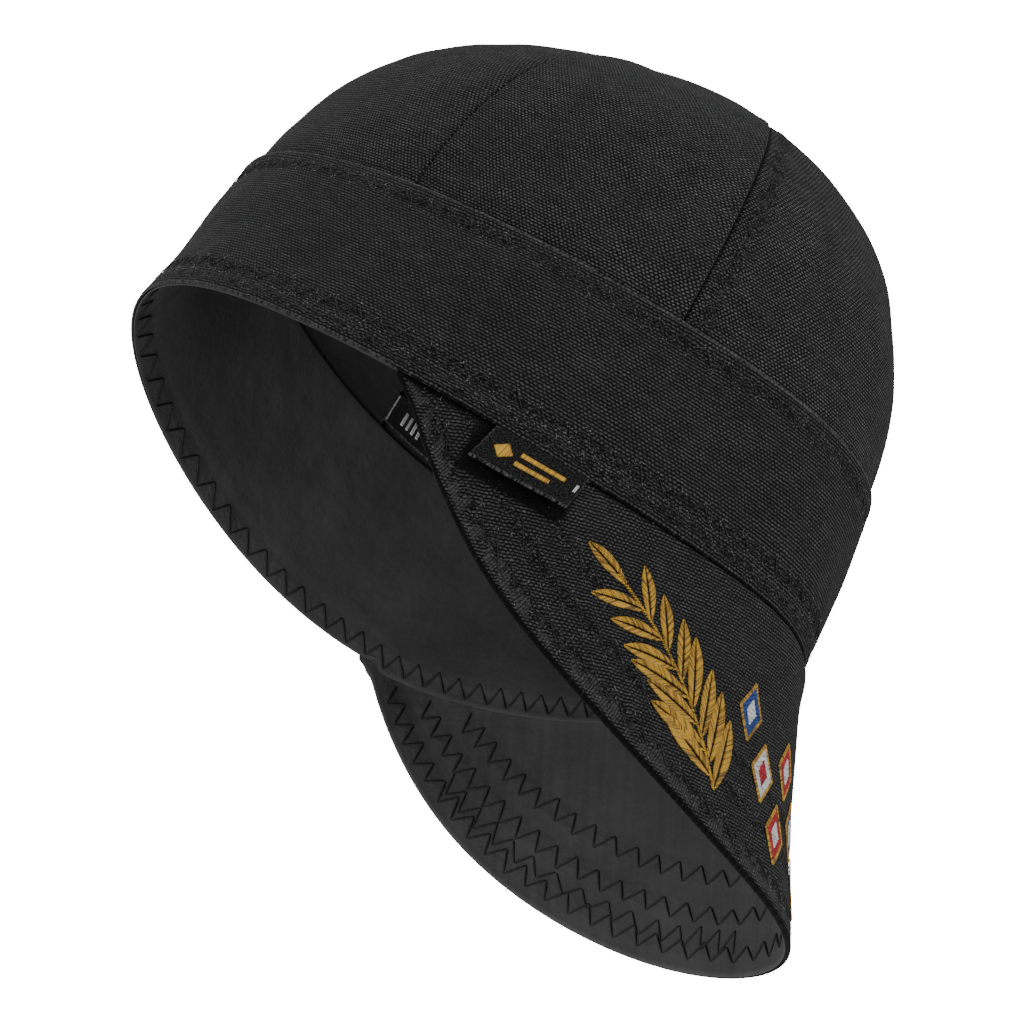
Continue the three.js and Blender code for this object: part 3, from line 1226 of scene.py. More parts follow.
@dataclass
class SideBand:
    """The deep side band, with its folded top edge and its thick lower edge.

    Attributes:
        shape: the surfaces of the cap.
        columns: faces round the cap.
        wall: thickness of the folded cloth.
        roll, lip: how far the lower and the upper edge stand out.
        upper_dent, lower_dent: how deep the stitching draws the cloth in.
        upper_row: distance of that row from the upper edge.
        lower_row, rim_row: heights of the other two rows over the rim.
        drape, fine: its large and small swells.
    """

    shape: CapShape
    columns: int = 560
    wall: float = 1.6
    roll: float = 0.30
    lip: float = 0.25
    upper_dent: float = 0.22
    lower_dent: float = 0.30
    upper_row: float = 5.0
    lower_row: float = 9.0
    rim_row: float = 3.4
    drape: Drape = Drape(11, 46.0, 0.42)
    fine: Drape = Drape(12, 15.0, 0.10)

    def puff(self, base: Array, above: Array, height: Array) -> Array:
        """Returns how far the loose cloth stands out, less towards both edges."""
        loose = self.drape.at(base) + self.fine.at(base)
        return loose * step(0, 9, above) * step(0, 7, height - above)

    def section(self) -> tuple[Array, Array, Array]:
        """Lists the loop round the wall, from the outer face over the top and back.

        Returns:
            Shares of the height, heights added in millimetres, and inward offsets.
        """
        half = self.wall / 2
        outer = np.linspace(0, 1, 62)
        arc = np.linspace(0, math.pi, 7)[1:-1]
        inner = np.linspace(1, 0, 24)
        share = np.concatenate([outer, np.ones(5), inner, np.zeros(5)])
        extra = np.concatenate([0 * outer, np.sin(arc) * half, 0 * inner, -np.sin(arc) * half])
        inward = np.concatenate([0 * outer, half - np.cos(arc) * half,
                                 0 * inner + self.wall, half + np.cos(arc) * half])
        share, extra, inward = (np.append(part, part[0]) for part in (share, extra, inward))
        return share, extra, inward

    def build(self, shelf: Shelf) -> None:
        """Makes the band.

        Args:
            shelf: the finishes.
        """
        share, extra, inward = self.section()
        theta = np.linspace(math.pi, -math.pi, self.columns + 1)
        angle, part = np.meshgrid(theta, share)
        height = self.shape.band_height(angle)
        above = part * height
        extra = extra * np.where(share < 0.5, 0.35, 1.0)
        inward = inward[:, None] * pressed(above)
        lift = part + extra[:, None] / height
        base = self.shape.band(angle, lift)
        out = normals(self.shape.band, angle, part)
        offset = (self.puff(base, above, height) + hump(height - above, self.lip, 1.0, 1.6)
                  - hump(height - above, self.upper_dent, self.upper_row, 2.4)
                  - hump(above, self.lower_dent, self.lower_row, 2.6)
                  + hump(above, self.roll, 1.0, 2.2) - inward)
        points = base + out * offset[..., None]
        run = spaced(self.shape.band, theta, 0 * theta + 0.5)
        rows = np.min([np.abs(above - self.lower_row), np.abs(above - self.rim_row),
                       np.abs(height - above - self.upper_row)], axis=0)
        rows = np.where(inward > self.wall * 0.6, 9.0, rows)
        covered = 1 - step(97, 103, np.abs(np.degrees(angle)))
        hem = np.minimum(above + covered, height - above) + 0.2
        made = Weft("side_band_cloth", points, {
            "cloth": np.stack([run[None] + 0 * above, above + inward], -1),
            "rows": np.stack([rows, hem], -1)}).build()
        dress(made, (shelf.get(BAND_DUCK),), join_seam, face_out)
        sew_on(made, "band_duck", "side_band")

    def stitch(self, shelf: Shelf) -> None:
        """Sews the rows along both edges of the band.

        Args:
            shelf: the finishes.
        """
        rows = Stitches("band_stitching", TONAL_YARN, 0.28, 0.30)
        lint = Stitches("band_lint", LINT, 0.20, 0.18, 4, (0.0, 0.5, 1.0))
        for from_top, away, seed in ((True, self.upper_row, 21), (False, self.lower_row, 22),
                                     (False, self.rim_row, 23)):
            theta = np.linspace(0, 2 * math.pi, 721)
            level = np.full(721, 1.0 if from_top else 0.0)
            run = spaced(self.shape.band, theta, level)
            at, side = Zigzag(7.4, 2.2, 0.45, seed).along(run[-1])
            side[-1] = side[0]

            def on_band(along: Array, across: Array) -> tuple[Array, Array]:
                """Works out places on the band's outer face.

                Args:
                    along, across: measures along the row and across it.

                Returns:
                    The places and the normals there.
                """
                angle = np.interp(along, run, theta)
                height = self.shape.band_height(angle)
                above = (height - away if from_top else away + 0 * height) + across
                base = self.shape.band(angle, above / height)
                out = normals(self.shape.band, angle, above / height)
                puff = self.puff(base, above, height)
                return base + out * (puff - SUNK)[..., None], out

            points, out = on_band(at, side)
            rows.lay(points[:-1], points[1:], out[:-1])
            lint.fray(on_band, at, side, seed + 100)
        sew_on(rows.build(shelf), "band_duck")
        sew_on(lint.build(shelf, 3), "band_duck")


@dataclass
class CrownPanel:
    """One gore of the crown, rolled into the seams beside it.

    Attributes:
        shape: the surfaces of the cap.
        name, node: names of the piece and of the CAD node that it replaces.
        start, end: angles of its two seams in degrees.
        proud: how far it stands out beside each seam.
        columns, rows: faces across it and up it.
        wall: thickness of the cloth.
        lap: how far it reaches down inside the side band.
        groove: depth of the seams' grooves.
        row: distance of the stitching from its seam.
        drape, fine: its large and small swells.
        sewn: whether a row of stitches follows each seam.
    """

    shape: CapShape
    name: str
    node: str
    start: float
    end: float
    proud: tuple[float, float]
    columns: int = 96
    rows: int = 112
    wall: float = 1.2
    lap: float = 8.0
    groove: float = 1.05
    row: float = 4.2
    drape: Drape = Drape(31, 42.0, 0.50)
    fine: Drape = Drape(32, 13.0, 0.10)
    sewn: tuple[bool, bool] = (False, False)

    def rises(self) -> Array:
        """Works out the rows, evenly spaced over the cloth.

        Returns:
            Their measures up the crown.
        """
        middle = math.radians((self.start + self.end) / 2)
        share = self.lap / 52.0
        fine = np.linspace(-share, 1.0, 1500)
        line = self.shape.crown(np.full(1500, middle), fine)
        run = np.concatenate([[0], np.cumsum(np.linalg.norm(np.diff(line, axis=0), axis=1))])
        return np.interp(np.linspace(0, run[-1], self.rows + 1), run, fine)

    def angles(self) -> Array:
        """Works out the columns, closer together beside the seams.

        Returns:
            Their angles.
        """
        part = np.linspace(0, 1, self.columns + 1)
        eased = part - 0.105 * np.sin(2 * math.pi * part)
        return np.radians(self.end + (self.start - self.end) * eased)

    def build(self, shelf: Shelf) -> None:
        """Makes the panel.

        Args:
            shelf: the finishes.
        """
        theta, rise = self.angles(), self.rises()
        angle, level = np.meshgrid(theta, rise)
        base = self.shape.crown(angle, level)
        out = normals(self.shape.crown, angle, np.clip(level, -1, 0.985))
        spread = np.linalg.norm(
            (base - [0, self.shape.apex_y, 0])[..., :2], axis=-1)
        to_start = (angle - math.radians(self.start)) * spread
        to_end = (math.radians(self.end) - angle) * spread
        near = np.minimum(to_start, to_end)
        offset = (self.drape.at(base) + self.fine.at(base)) * step(0, 9, near)
        offset = offset * step(-0.02, 0.10, level)
        for gap, lift in ((to_start, self.proud[0]), (to_end, self.proud[1])):
            offset = offset + hump(gap, lift, 0.0, 3.2) - hump(gap, self.groove, 0.0, 0.42)
        offset = offset * step(-0.06, 0.02, level) * (1 - 0.7 * step(0.93, 1.0, level))
        points = base + out * offset[..., None]
        middle = math.radians((self.start + self.end) / 2)
        climb = np.concatenate([np.zeros((1, len(theta))), np.cumsum(
            np.linalg.norm(np.diff(points, axis=0), axis=-1), axis=0)])
        rows = np.full_like(near, 9.0)
        for gap, has in ((to_start, self.sewn[0]), (to_end, self.sewn[1])):
            rows = np.minimum(rows, np.abs(gap - self.row)) if has else rows
        # The rows map's second number, the distance from the seams, sets where the canvas
        # paints its dark seam shade line.
        made = Weft(self.name, points, {
            "cloth": np.stack([(angle - middle) * spread, climb], -1),
            "rows": np.stack([rows, near + 0.35], -1)}).build()
        dress(made, (shelf.get(CROWN_DUCK), shelf.get(INNER)), join_seam)
        thicken(made, self.wall, 1)
        sew_on(made, "crown_duck", self.node)


@dataclass
class Crown:
    """The six gores and the stitching beside their seams.

    Attributes:
        shape: the surfaces of the cap.
        seams: angles of the seams of one half, from the front.
    """

    shape: CapShape
    seams: tuple[float, ...] = (0.0, 66.5, 116.5, 180.0)

    def build(self, shelf: Shelf) -> None:
        """Makes the gores of both halves.

        Args:
            shelf: the finishes.
        """
        names = ("front", "side", "rear")
        heights = ((-0.05, -0.25), (0.45, 0.45), (-0.25, -0.05))
        sewn = ((False, True), (False, False), (False, False))
        for side in Side:
            for number, name in enumerate(names):
                low, high = self.seams[number], self.seams[number + 1]
                lift, rows = heights[number], sewn[number]
                if side is Side.LEFT:
                    low, high, lift, rows = -high, -low, lift[::-1], rows[::-1]
                tag = side.name.lower()
                CrownPanel(self.shape, f"{name}_gore_{tag}", f"crown_{name}_{tag}",
                           low, high, lift, sewn=rows).build(shelf)

    def stitch(self, shelf: Shelf) -> None:
        """Sews a row on the front gores beside the forward seams.

        Args:
            shelf: the finishes.
        """
        rows = Stitches("crown_stitching", TONAL_YARN, 0.44, 0.32)
        drape, fine = CrownPanel.drape, CrownPanel.fine
        for side in Side:
            rise = np.linspace(0.01, 0.96, 400)
            seam = math.radians(self.seams[1]) * side.value
            run = spaced(self.shape.crown, np.full(400, seam), rise)
            at, across = Zigzag(4.8, 1.3, 0.3, 40 + side.value).along(run[-1])
            level = np.interp(at, run, rise)
            line = self.shape.crown(np.full(len(level), seam), level)
            spread = np.linalg.norm((line - [0, self.shape.apex_y, 0])[:, :2], axis=-1)
            away = CrownPanel.row + across
            angle = seam - side.value * away / np.maximum(spread, 6.0)
            base = self.shape.crown(angle, level)
            out = normals(self.shape.crown, angle, level)
            puff = (drape.at(base) + fine.at(base)) * step(0, 9, away)
            points = base + out * (puff - 0.12)[..., None]
            keep = spread[:-1] > 9.0
            rows.lay(points[:-1][keep], points[1:][keep], out[:-1][keep])
        sew_on(rows.build(shelf), "crown_duck")


@dataclass
class LiningBand:
    """The facing inside the side band, stitched along the rim.

    Attributes:
        shape: the surfaces of the cap.
        columns: faces round the cap.
        wall: thickness of the cloth.
        bottom, top: its edges as shares of the band's height.
        row: height of the stitching over its lower edge.
        drape: its swells.
    """

    shape: CapShape
    columns: int = 400
    wall: float = 1.0
    bottom: float = -0.002
    top: float = 0.98
    row: float = 3.3
    drape: Drape = Drape(51, 38.0, 0.45)

    def over_brim(self, theta: Array) -> Array:
        """Returns 1 where the facing lies over the brim's edge and 0 at the bare rim."""
        return 1 - step(93.5, 99.5, np.abs(np.degrees(theta)))

    def hang(self, theta: Array) -> Array:
        """Returns how far the facing hangs below the rim, over the brim."""
        return self.over_brim(theta) * (1.0 + 1.2 * step(25, 60, np.abs(np.degrees(theta))))

    def pressing(self, theta: Array, up: Array) -> Array:
        """Returns the share of its thickness the facing keeps, thin at the bare rim."""
        over = self.over_brim(theta)
        return over * (0.45 + 0.55 * step(0, 0.1, up)) + (1 - over) * pressed(up * 50.0)

    def offset(self, theta: Array, up: Array) -> Array:
        """Returns how far the facing's outer face lies inside the band's."""
        over = self.over_brim(theta)
        bare = 0.15 + 1.75 * self.pressing(theta, up)
        low = bare + (3.2 + 1.1 * step(0, 0.08, up) - bare) * over
        return low + (3.4 - low) * step(0.17, 0.75, up)

    def inner(self, theta: Array, up: Array) -> Array:
        """Works out points on the facing's visible face.

        Args:
            theta, up: angles and shares of the band's height.

        Returns:
            The points.
        """
        base = self.shape.band(theta, up)
        out = normals(self.shape.band, theta, up)
        edge = np.sin(np.clip((up - self.bottom) / (self.top - self.bottom), 0, 1) * math.pi)
        puff = self.drape.at(base) * edge
        thick = self.wall * self.pressing(theta, up)
        return base - out * (self.offset(theta, up) + thick - puff)[..., None]

    def build(self, shelf: Shelf) -> None:
        """Makes the facing.

        Args:
            shelf: the finishes.
        """
        half = self.wall / 2
        arc = np.linspace(0, math.pi, 6)[1:-1]
        climb = np.linspace(self.bottom, self.top, 40)
        share = np.concatenate([climb, np.full(4, self.top),
                                climb[::-2], np.full(4, self.bottom)])
        extra = np.concatenate([0 * climb, np.sin(arc), 0 * climb[::2], -np.sin(arc)]) * half
        depth = np.concatenate([0 * climb + 1, 0.5 + np.cos(arc) / 2,
                                0 * climb[::2], 0.5 - np.cos(arc) / 2])
        share, extra, depth = (np.append(part, part[0]) for part in (share, extra, depth))
        theta = np.linspace(math.pi, -math.pi, self.columns + 1)
        angle, up = np.meshgrid(theta, share)
        height = self.shape.band_height(angle)
        up = up - self.hang(angle) / height * (1 - step(0, 0.2, up))
        face = self.inner(angle, up)
        out = normals(self.shape.band, angle, up)
        rise = self.shape.band_rise(angle)
        thick = self.wall * self.pressing(angle, up)
        points = face + out * ((1 - depth)[:, None] * thick)[..., None]
        points = points + rise * (extra[:, None] * thick)[..., None]
        run = spaced(self.shape.band, theta, 0 * theta + 0.5)
        above = up * height + self.hang(angle)
        rows = np.abs(above - self.row)
        made = Weft("lining_band_cloth", points, {
            "cloth": np.stack([run[None] + 0 * above, above], -1),
            "rows": np.stack([rows, above + 0.2], -1)}).build()
        dress(made, (shelf.get(INNER),), join_seam, face_out)
        sew_on(made, "lining_duck", "lining_band")

    def stitch(self, shelf: Shelf) -> None:
        """Sews the black zigzag row that shows inside the rim.

        Args:
            shelf: the finishes.
        """
        rows = Stitches("rim_stitching", BLACK_YARN, 0.60, 0.40)
        theta = np.linspace(0, 2 * math.pi, 721)
        run = spaced(self.shape.band, theta, 0 * theta)
        turned = np.abs((np.degrees(theta) + 180) % 360 - 180)
        pitch = 6.9 + 4.4 * step(92, 165, turned)
        passed = np.concatenate([[0.0], np.cumsum(np.diff(run) / pitch[1:])])
        at, side = Zigzag(1.0, 2.9, 0.03, 52).along(passed[-1])
        at, side[-1] = np.interp(at, passed, run) - 0.5 * (side > 0), side[0]

        def on_facing(along: Array, across: Array) -> tuple[Array, Array]:
            """Works out places on the facing's visible face.

            Args:
                along, across: measures along the row and across it.

            Returns:
                The places and the normals there.
            """
            angle = (np.interp(along, run, theta) + math.pi) % (2 * math.pi) - math.pi
            height = self.shape.band_height(angle)
            up = (self.row + across - 0.8 * self.hang(angle)) / height
            out = -normals(self.shape.band, angle, up)
            return self.inner(angle, up) + out * 0.12, out

        rows.sew(on_facing, at, side)
        sew_on(rows.build(shelf), "lining_duck")


@dataclass
class Brim:
    """The stiff stitched brim, canvas outside and smooth cloth inside.

    Attributes:
        shape: the surfaces of the cap.
        columns: faces round the brim.
        wall: thickness of its layers.
        tuck, end_tuck: how far its root goes up inside the band, and at its ends.
        tuck_lean: how far the tucked root leans towards the head.
        last: angle in degrees of its ends.
        painted_tab_shadow: angles and depth of the tab's shadow that is painted into the brim's
            cloth.
        rows_in: distances of the rows of stitches from the free edge.
        row_dent: how deep they draw the cloth in.
        second_pass: distance and first and last angle of a part that is sewn twice.
        skew: how far the needle holes nearer the root are shifted along.
        drape: its swells.
    """

    shape: CapShape
    columns: int = 420
    wall: float = 1.8
    tuck: float = 2.4
    tuck_lean: float = 0.6
    end_tuck: float = 0.5
    last: float = 99.8
    painted_tab_shadow: tuple[float, float, float] = (69.6, 85.6, 14.2)
    rows_in: tuple[float, ...] = (5.5, 15.5, 26.0)
    row_dent: float = 0.16
    second_pass: tuple[float, float, float] = (9.0, -76.0, -16.0)
    skew: float = 2.3
    drape: Drape = Drape(61, 44.0, 0.45)

    def shadow_width_at(self, theta: Array) -> Array:
        """Returns how wide the shadow painted under the band's edge is, widest at the sides."""
        degrees = np.abs(np.degrees(theta))
        return 0.8 + hump(degrees, 1.0, 82.0, 11.0) + 0.3 * step(20, 60, degrees)

    def puff(self, base: Array, depth: Array, reach: Array) -> Array:
        """Returns how far the brim's layers swell off their middle."""
        inside = depth * (1 - reach)
        return self.drape.at(base) * step(0, 10, inside) * step(0, 12, depth * reach)

    def face(self, theta: Array, reach: Array, stand: float) -> Array:
        """Works out points that stand off the middle layer.

        Args:
            theta, reach: angles and shares of the depth.
            stand: distance from the middle layer.

        Returns:
            The points.
        """
        base = self.shape.brim(theta, reach)
        out = normals(self.shape.brim, theta, reach, flip=True)
        depth = self.shape.depth_at(theta)
        return base + out * (stand + self.puff(base, depth, reach))[..., None]

    def laid_flat(self, theta: Array) -> tuple[Array, Array]:
        """Unrolls the brim onto a table, as it was cut, with its front straight.

        Args:
            theta: the angles of its columns.

        Returns:
            The flat places of the columns' ends at the rim and at the free edge.
        """
        top = self.shape.brim(theta, 0 * theta)
        low = self.shape.brim(theta, 0 * theta + 1)
        near, far = np.zeros((len(theta), 2)), np.zeros((len(theta), 2))
        far[0, 1] = -np.linalg.norm(low[0] - top[0])

        def corner(a: Array, b: Array, from_a: float, from_b: float) -> Array:
            """Works out the third corner of a triangle, on its far side.

            Args:
                a, b: the two known corners.
                from_a, from_b: its distances from them.

            Returns:
                The corner.
            """
            line = b - a
            long = max(np.linalg.norm(line), 1e-6)
            along = (from_a ** 2 - from_b ** 2 + long ** 2) / (2 * long)
            aside = math.sqrt(max(from_a ** 2 - along ** 2, 0.0))
            ahead = line / long
            return a + ahead * along + np.array([-ahead[1], ahead[0]]) * aside

        for n in range(1, len(theta)):
            near[n] = corner(near[n - 1], far[n - 1], np.linalg.norm(top[n] - top[n - 1]),
                             np.linalg.norm(top[n] - low[n - 1]))
            far[n] = corner(near[n], far[n - 1], np.linalg.norm(low[n] - top[n]),
                            np.linalg.norm(low[n] - low[n - 1]))
        middle = len(theta) // 2
        down = unit(far[middle] - near[middle])
        turn = np.array([[-down[1], down[0]], [-down[0], -down[1]]])
        origin = near[middle].copy()
        return (near - origin) @ turn.T, (far - origin) @ turn.T

    def build(self, shelf: Shelf) -> None:
        """Makes the brim.

        Args:
            shelf: the finishes.
        """
        half = self.wall / 2
        arc = np.linspace(0, math.pi, 9)[1:-1]
        down = np.concatenate([np.linspace(-1, 0, 6)[:-1], np.linspace(0, 1, 84)])
        back = np.concatenate([np.linspace(1, 0, 62)[:-1], np.linspace(0, -1, 6)])
        share = np.concatenate([down, np.ones(7), back, down[:1]])
        beyond = np.concatenate([0 * down, np.sin(arc) * half, 0 * back, [0.0]])
        stand = np.concatenate([0 * down + half, np.cos(arc) * half, 0 * back - half, [half]])
        theta = np.radians(np.linspace(-self.last, self.last, self.columns + 1))
        angle, part = np.meshgrid(theta, share)
        depth = self.shape.depth_at(angle)
        tuck = self.end_tuck + (self.tuck - self.end_tuck) * step(0, 25, depth)
        reach = np.maximum(part, 0) + beyond[:, None] / depth
        base = self.shape.brim(angle, reach)
        out = normals(self.shape.brim, angle, np.clip(reach, 0.002, 1.0), flip=True)
        rise = self.shape.band_rise(angle)
        lean = np.stack([np.sin(angle), np.cos(angle), 0 * angle], -1) * self.tuck_lean
        base = base + rise * (np.maximum(-part, 0) * tuck)[..., None]
        base = base + lean * (np.maximum(-part, 0) ** 0.7)[..., None]
        swell = self.puff(base, depth, np.clip(reach, 0, 1))
        inward = depth * (1 - np.clip(part, 0, 1))
        dents = 0 * inward
        for row in self.rows_in:
            dents = dents - hump(inward, self.row_dent, row, 3.0)
        thick = stand[:, None] + dents * np.sign(stand)[:, None]
        thick = thick * (1 - 0.7 * step(95, 99, np.abs(np.degrees(angle))))
        points = base + out * (thick + swell)[..., None]
        for column in (0, -1):
            points[:, column] = points[:, column].mean(axis=0)
        # Painted shadow: the edge map's first number, fully dark below about 0.5, paints the
        # shade under the band's lower edge and the tab's cast shadow into the brim's colour.
        below = np.where(part < 0, part * tuck, np.clip(part, 0, 1) * depth)
        low, high, deep = self.painted_tab_shadow
        degrees = np.degrees(angle)
        aside = np.maximum(np.maximum(low - degrees, degrees - high), 0) * 1.62
        shaded = 0.5 + np.hypot(aside, np.maximum(below - deep, 0)) / 1.1
        covered = np.minimum(below / self.shadow_width_at(angle), shaded)
        run = spaced(self.shape.brim, theta, 0 * theta + 1.0)
        near, far = self.laid_flat(theta)
        share = np.clip(part, 0, 1)[..., None]
        cut = near[None] * (1 - share) + far[None] * share
        rows = np.min([np.abs(inward - row) for row in self.rows_in], axis=0)
        patch = np.where((np.arange(len(share) - 1) > len(down) + 4)
                         & (np.arange(len(share) - 1) < len(share) - 1), 1, 0)
        # The rows map's second number, the distance from the free edge, also sets the painted
        # shade line round that edge.
        made = Weft("brim_cloth", points, {
            "cloth": cut,
            "rows": np.stack([rows, inward + 0.2], -1),
            "edge": np.stack([covered, run[None] + 0 * inward], -1)}, patch).build()
        dress(made, (shelf.get(BRIM_DUCK), shelf.get(INNER_BRIM)), join_seam, face_out)
        sew_on(made, "brim_duck", "brim")

    def clear_of_tab(self, angle: Array, inward: Array) -> Array:
        """Tells which threads between needle holes lie outside the shadow painted under the
        tab.

        Args:
            angle, inward: angles of the needle holes and distances from the edge.

        Returns:
            True for each thread that does.
        """
        low, high, deep = self.painted_tab_shadow
        below, degrees = self.shape.depth_at(angle) - inward, np.degrees(angle)
        hidden = (degrees > low - 1) & (degrees < high + 1.5) & (below < deep + 0.8)
        return ~(hidden[:-1] | hidden[1:])

    def stitch(self, shelf: Shelf) -> None:
        """Sews the rows that follow the free edge, black inside and dark outside.

        Args:
            shelf: the finishes.
        """
        inner = Stitches("brim_inner_stitching", BLACK_YARN, 0.62, 0.44)
        outer = Stitches("brim_outer_stitching", TONAL_YARN, 0.28, 0.28)
        lint = Stitches("brim_lint", LINT, 0.20, 0.18, 4, (0.0, 0.5, 1.0))
        courses = [(away, -93.0, 93.0) for away in self.rows_in] + [self.second_pass]
        for number, (away, low, high) in enumerate(courses):
            theta = np.radians(np.linspace(low, high, 900))
            depth = self.shape.depth_at(theta)
            keep = depth > away + 5.0
            theta, depth = theta[keep], depth[keep]
            run = spaced(self.shape.brim, theta, 1 - away / depth)
            at, side = Zigzag(8.3, 3.0, 0.26, 70 + number).along(run[-1])
            turn = 2 * math.pi * at / run[-1]
            at = at - run[-1] * 0.03 * np.sin(turn)
            at = at + self.skew * (1 + 0.5 * np.cos(turn)) * (side > 0)
            side = side * (1 + 0.22 * np.cos(turn))
            for rows, stand, sign in ((inner, -self.wall / 2 + 0.08, -1.0),
                                      (outer, self.wall / 2 - SUNK, 1.0)):

                def on_face(along: Array, across: Array) -> tuple[Array, Array]:
                    """Works out places on this face of the brim.

                    Args:
                        along, across: measures along the row and across it.

                    Returns:
                        The places and the normals there.
                    """
                    angle = np.interp(along, run, theta)
                    reach = 1 - (away + across) / self.shape.depth_at(angle)
                    out = normals(self.shape.brim, angle, reach, flip=True) * sign
                    return self.face(angle, reach, stand), out

                seen = self.clear_of_tab(np.interp(at, run, theta), away + side)
                rows.sew(on_face, at, side, seen if rows is outer else slice(None))
            lint.fray(on_face, at[1:][seen], side[1:][seen], 80 + number, 3)
        sew_on(inner.build(shelf), "brim_duck")
        sew_on(outer.build(shelf), "brim_duck")
        sew_on(lint.build(shelf, 4), "brim_duck")


@dataclass
class SewnTags:
    """The woven tab on the brim and the size tag inside the crown.

    Attributes:
        shape: the surfaces of the cap.
        brim: the brim that the tab hangs on.
        tab_from, tab_to, tab_skew: angles of the tab's sides and its slant, in degrees.
        tab_wide, tab_drop: its size.
        tab_start, tab_lift: where it starts under the band and how far it lifts off.
        tab_wall, size_wall: thickness of the two tapes.
        size_from, size_to: angles of the size tag's sides in degrees.
        size_low, size_high: heights of its edges over the band's upper edge.
    """

    shape: CapShape
    brim: Brim
    tab_from: float = 68.7
    tab_to: float = 83.7
    tab_skew: float = 1.5
    tab_wide: float = 28.6
    tab_drop: float = 11.2
    tab_start: float = 0.4
    tab_lift: float = 2.3
    tab_wall: float = 0.9
    size_from: float = -117.3
    size_to: float = -103.5
    size_low: float = 0.4
    size_high: float = 10.5
    size_wall: float = 0.6

    def ripple(self, across: Array, down: Array) -> Array:
        """Returns how far the tab's cloth waves, more towards its free edge."""
        return 0.25 * np.sin(across * 7.0 + 0.6) * down

    def tab_point(self, across: Array, down: Array, stand: Array) -> Array:
        """Works out points on the tab.

        Args:
            across, down: places on it from 0 to 1.
            stand: distance from its back.

        Returns:
            The points.
        """
        angle = np.radians(self.tab_from + (self.tab_to - self.tab_from) * across
                           + self.tab_skew * down)
        depth = self.shape.depth_at(angle)
        reach = (self.tab_start + self.tab_drop * down) / depth
        base = self.shape.brim(angle, reach)
        out = normals(self.shape.brim, angle, np.clip(reach, 0.002, 1), flip=True)
        off = self.brim.wall / 2 + 0.2 + self.tab_lift * down ** 1.6 + stand
        return base + out * off[..., None]

    def build(self, shelf: Shelf) -> None:
        """Makes the tab.

        Args:
            shelf: the finishes.
        """
        across, down = np.meshgrid(np.linspace(0, 1, 61), np.linspace(1, 0, 27))
        points = self.tab_point(across, down, self.ripple(across, down) + self.tab_wall)
        width = np.linalg.norm(points[0, -1] - points[0, 0])
        hem = np.minimum(np.minimum(across, 1 - across) * width,
                         np.minimum(1 - down, 1.0) * self.tab_drop)
        made = Weft("woven_tab_tape", points, {
            "cloth": np.stack([across * width, down * self.tab_drop], -1),
            "rows": np.stack([0 * hem + 9, hem], -1)}).build()
        dress(made, (shelf.get(BLACK_TAPE),), bpy.ops.mesh.flip_normals)
        thicken(made, self.tab_wall)
        bevel = made.modifiers.new("edge", "BEVEL")
        bevel.width, bevel.segments, bevel.limit_method = 0.3 * MM, 2, "ANGLE"
        bpy.ops.object.modifier_apply(modifier=bevel.name)
        sew_on(made, "woven_tape", "woven_tab")

    def tab_bars(self, shelf: Shelf) -> None:
        """Weaves the gold bars, a small lozenge and the pale tick of the tab.

        Args:
            shelf: the finishes.
        """
        gold = Stitches("tab_gold_bars", GOLD_SILK, 0.34, 0.20,
                        rings=(0.0, 0.15, 0.5, 0.85, 1.0))
        blocks = ((10.4, 23.6, 3.4, 5.0), (10.4, 20.6, 6.4, 8.0))
        starts, ends = [], []
        for left, right, top, low in blocks:
            for at in np.arange(left, right, 0.33):
                starts.append((at, top))
                ends.append((at + 0.12, low))
        for at in np.arange(-2.7, 2.71, 0.33):
            tall = (2.9 - abs(at)) * 0.98
            starts.append((5.9 + at, 5.7 - tall))
            ends.append((5.9 + at + 0.1, 5.7 + tall))
        self.weave(gold, np.array(starts), np.array(ends))
        sew_on(gold.build(shelf, 91), "woven_tape")
        pale = Stitches("tab_pale_tick", WHITE_YARN, 0.30, 0.22)
        at = np.array([26.9, 27.15, 27.4])
        self.weave(pale, np.stack([at, at * 0 + 3.4], -1), np.stack([at, at * 0 + 6.3], -1))
        sew_on(pale.build(shelf, 92), "woven_tape")

    def weave(self, rows: Stitches, starts: Array, ends: Array) -> None:
        """Lays threads on the tab.

        Args:
            rows: the piece that they are part of.
            starts, ends: their ends in millimetres across the tab and down it.
        """
        placed = []
        for part in (starts, ends):
            across, down = 1 - part[:, 0] / self.tab_wide, part[:, 1] / self.tab_drop
            soft = self.ripple(across, down)
            placed.append(self.tab_point(across, down, soft + self.tab_wall + 0.02))
        out = unit(self.tab_point(across, down, 3.0 + 0 * down)
                   - self.tab_point(across, down, 2.0 + 0 * down))
        rows.lay(placed[0], placed[1], out)

    def size_point(self, across: Array, up: Array, stand: Array) -> Array:
        """Works out points on the size tag inside the crown.

        Args:
            across, up: places on it from 0 to 1.
            stand: distance from the crown's wall.

        Returns:
            The points.
        """
        angle = np.radians(self.size_from + (self.size_to - self.size_from) * across)
        base = self.shape.top.at(angle)[..., 2]
        lift = (self.size_low + (self.size_high - self.size_low) * up) / (
            self.shape.apex_z - base)
        spread = (1 - lift ** self.shape.rise_power) ** (1 / self.shape.round_power)
        rise = np.arccos(spread) * 2 / math.pi
        out = normals(self.shape.crown, angle, rise)
        return self.shape.crown(angle, rise) - out * (1.5 + stand)[..., None]

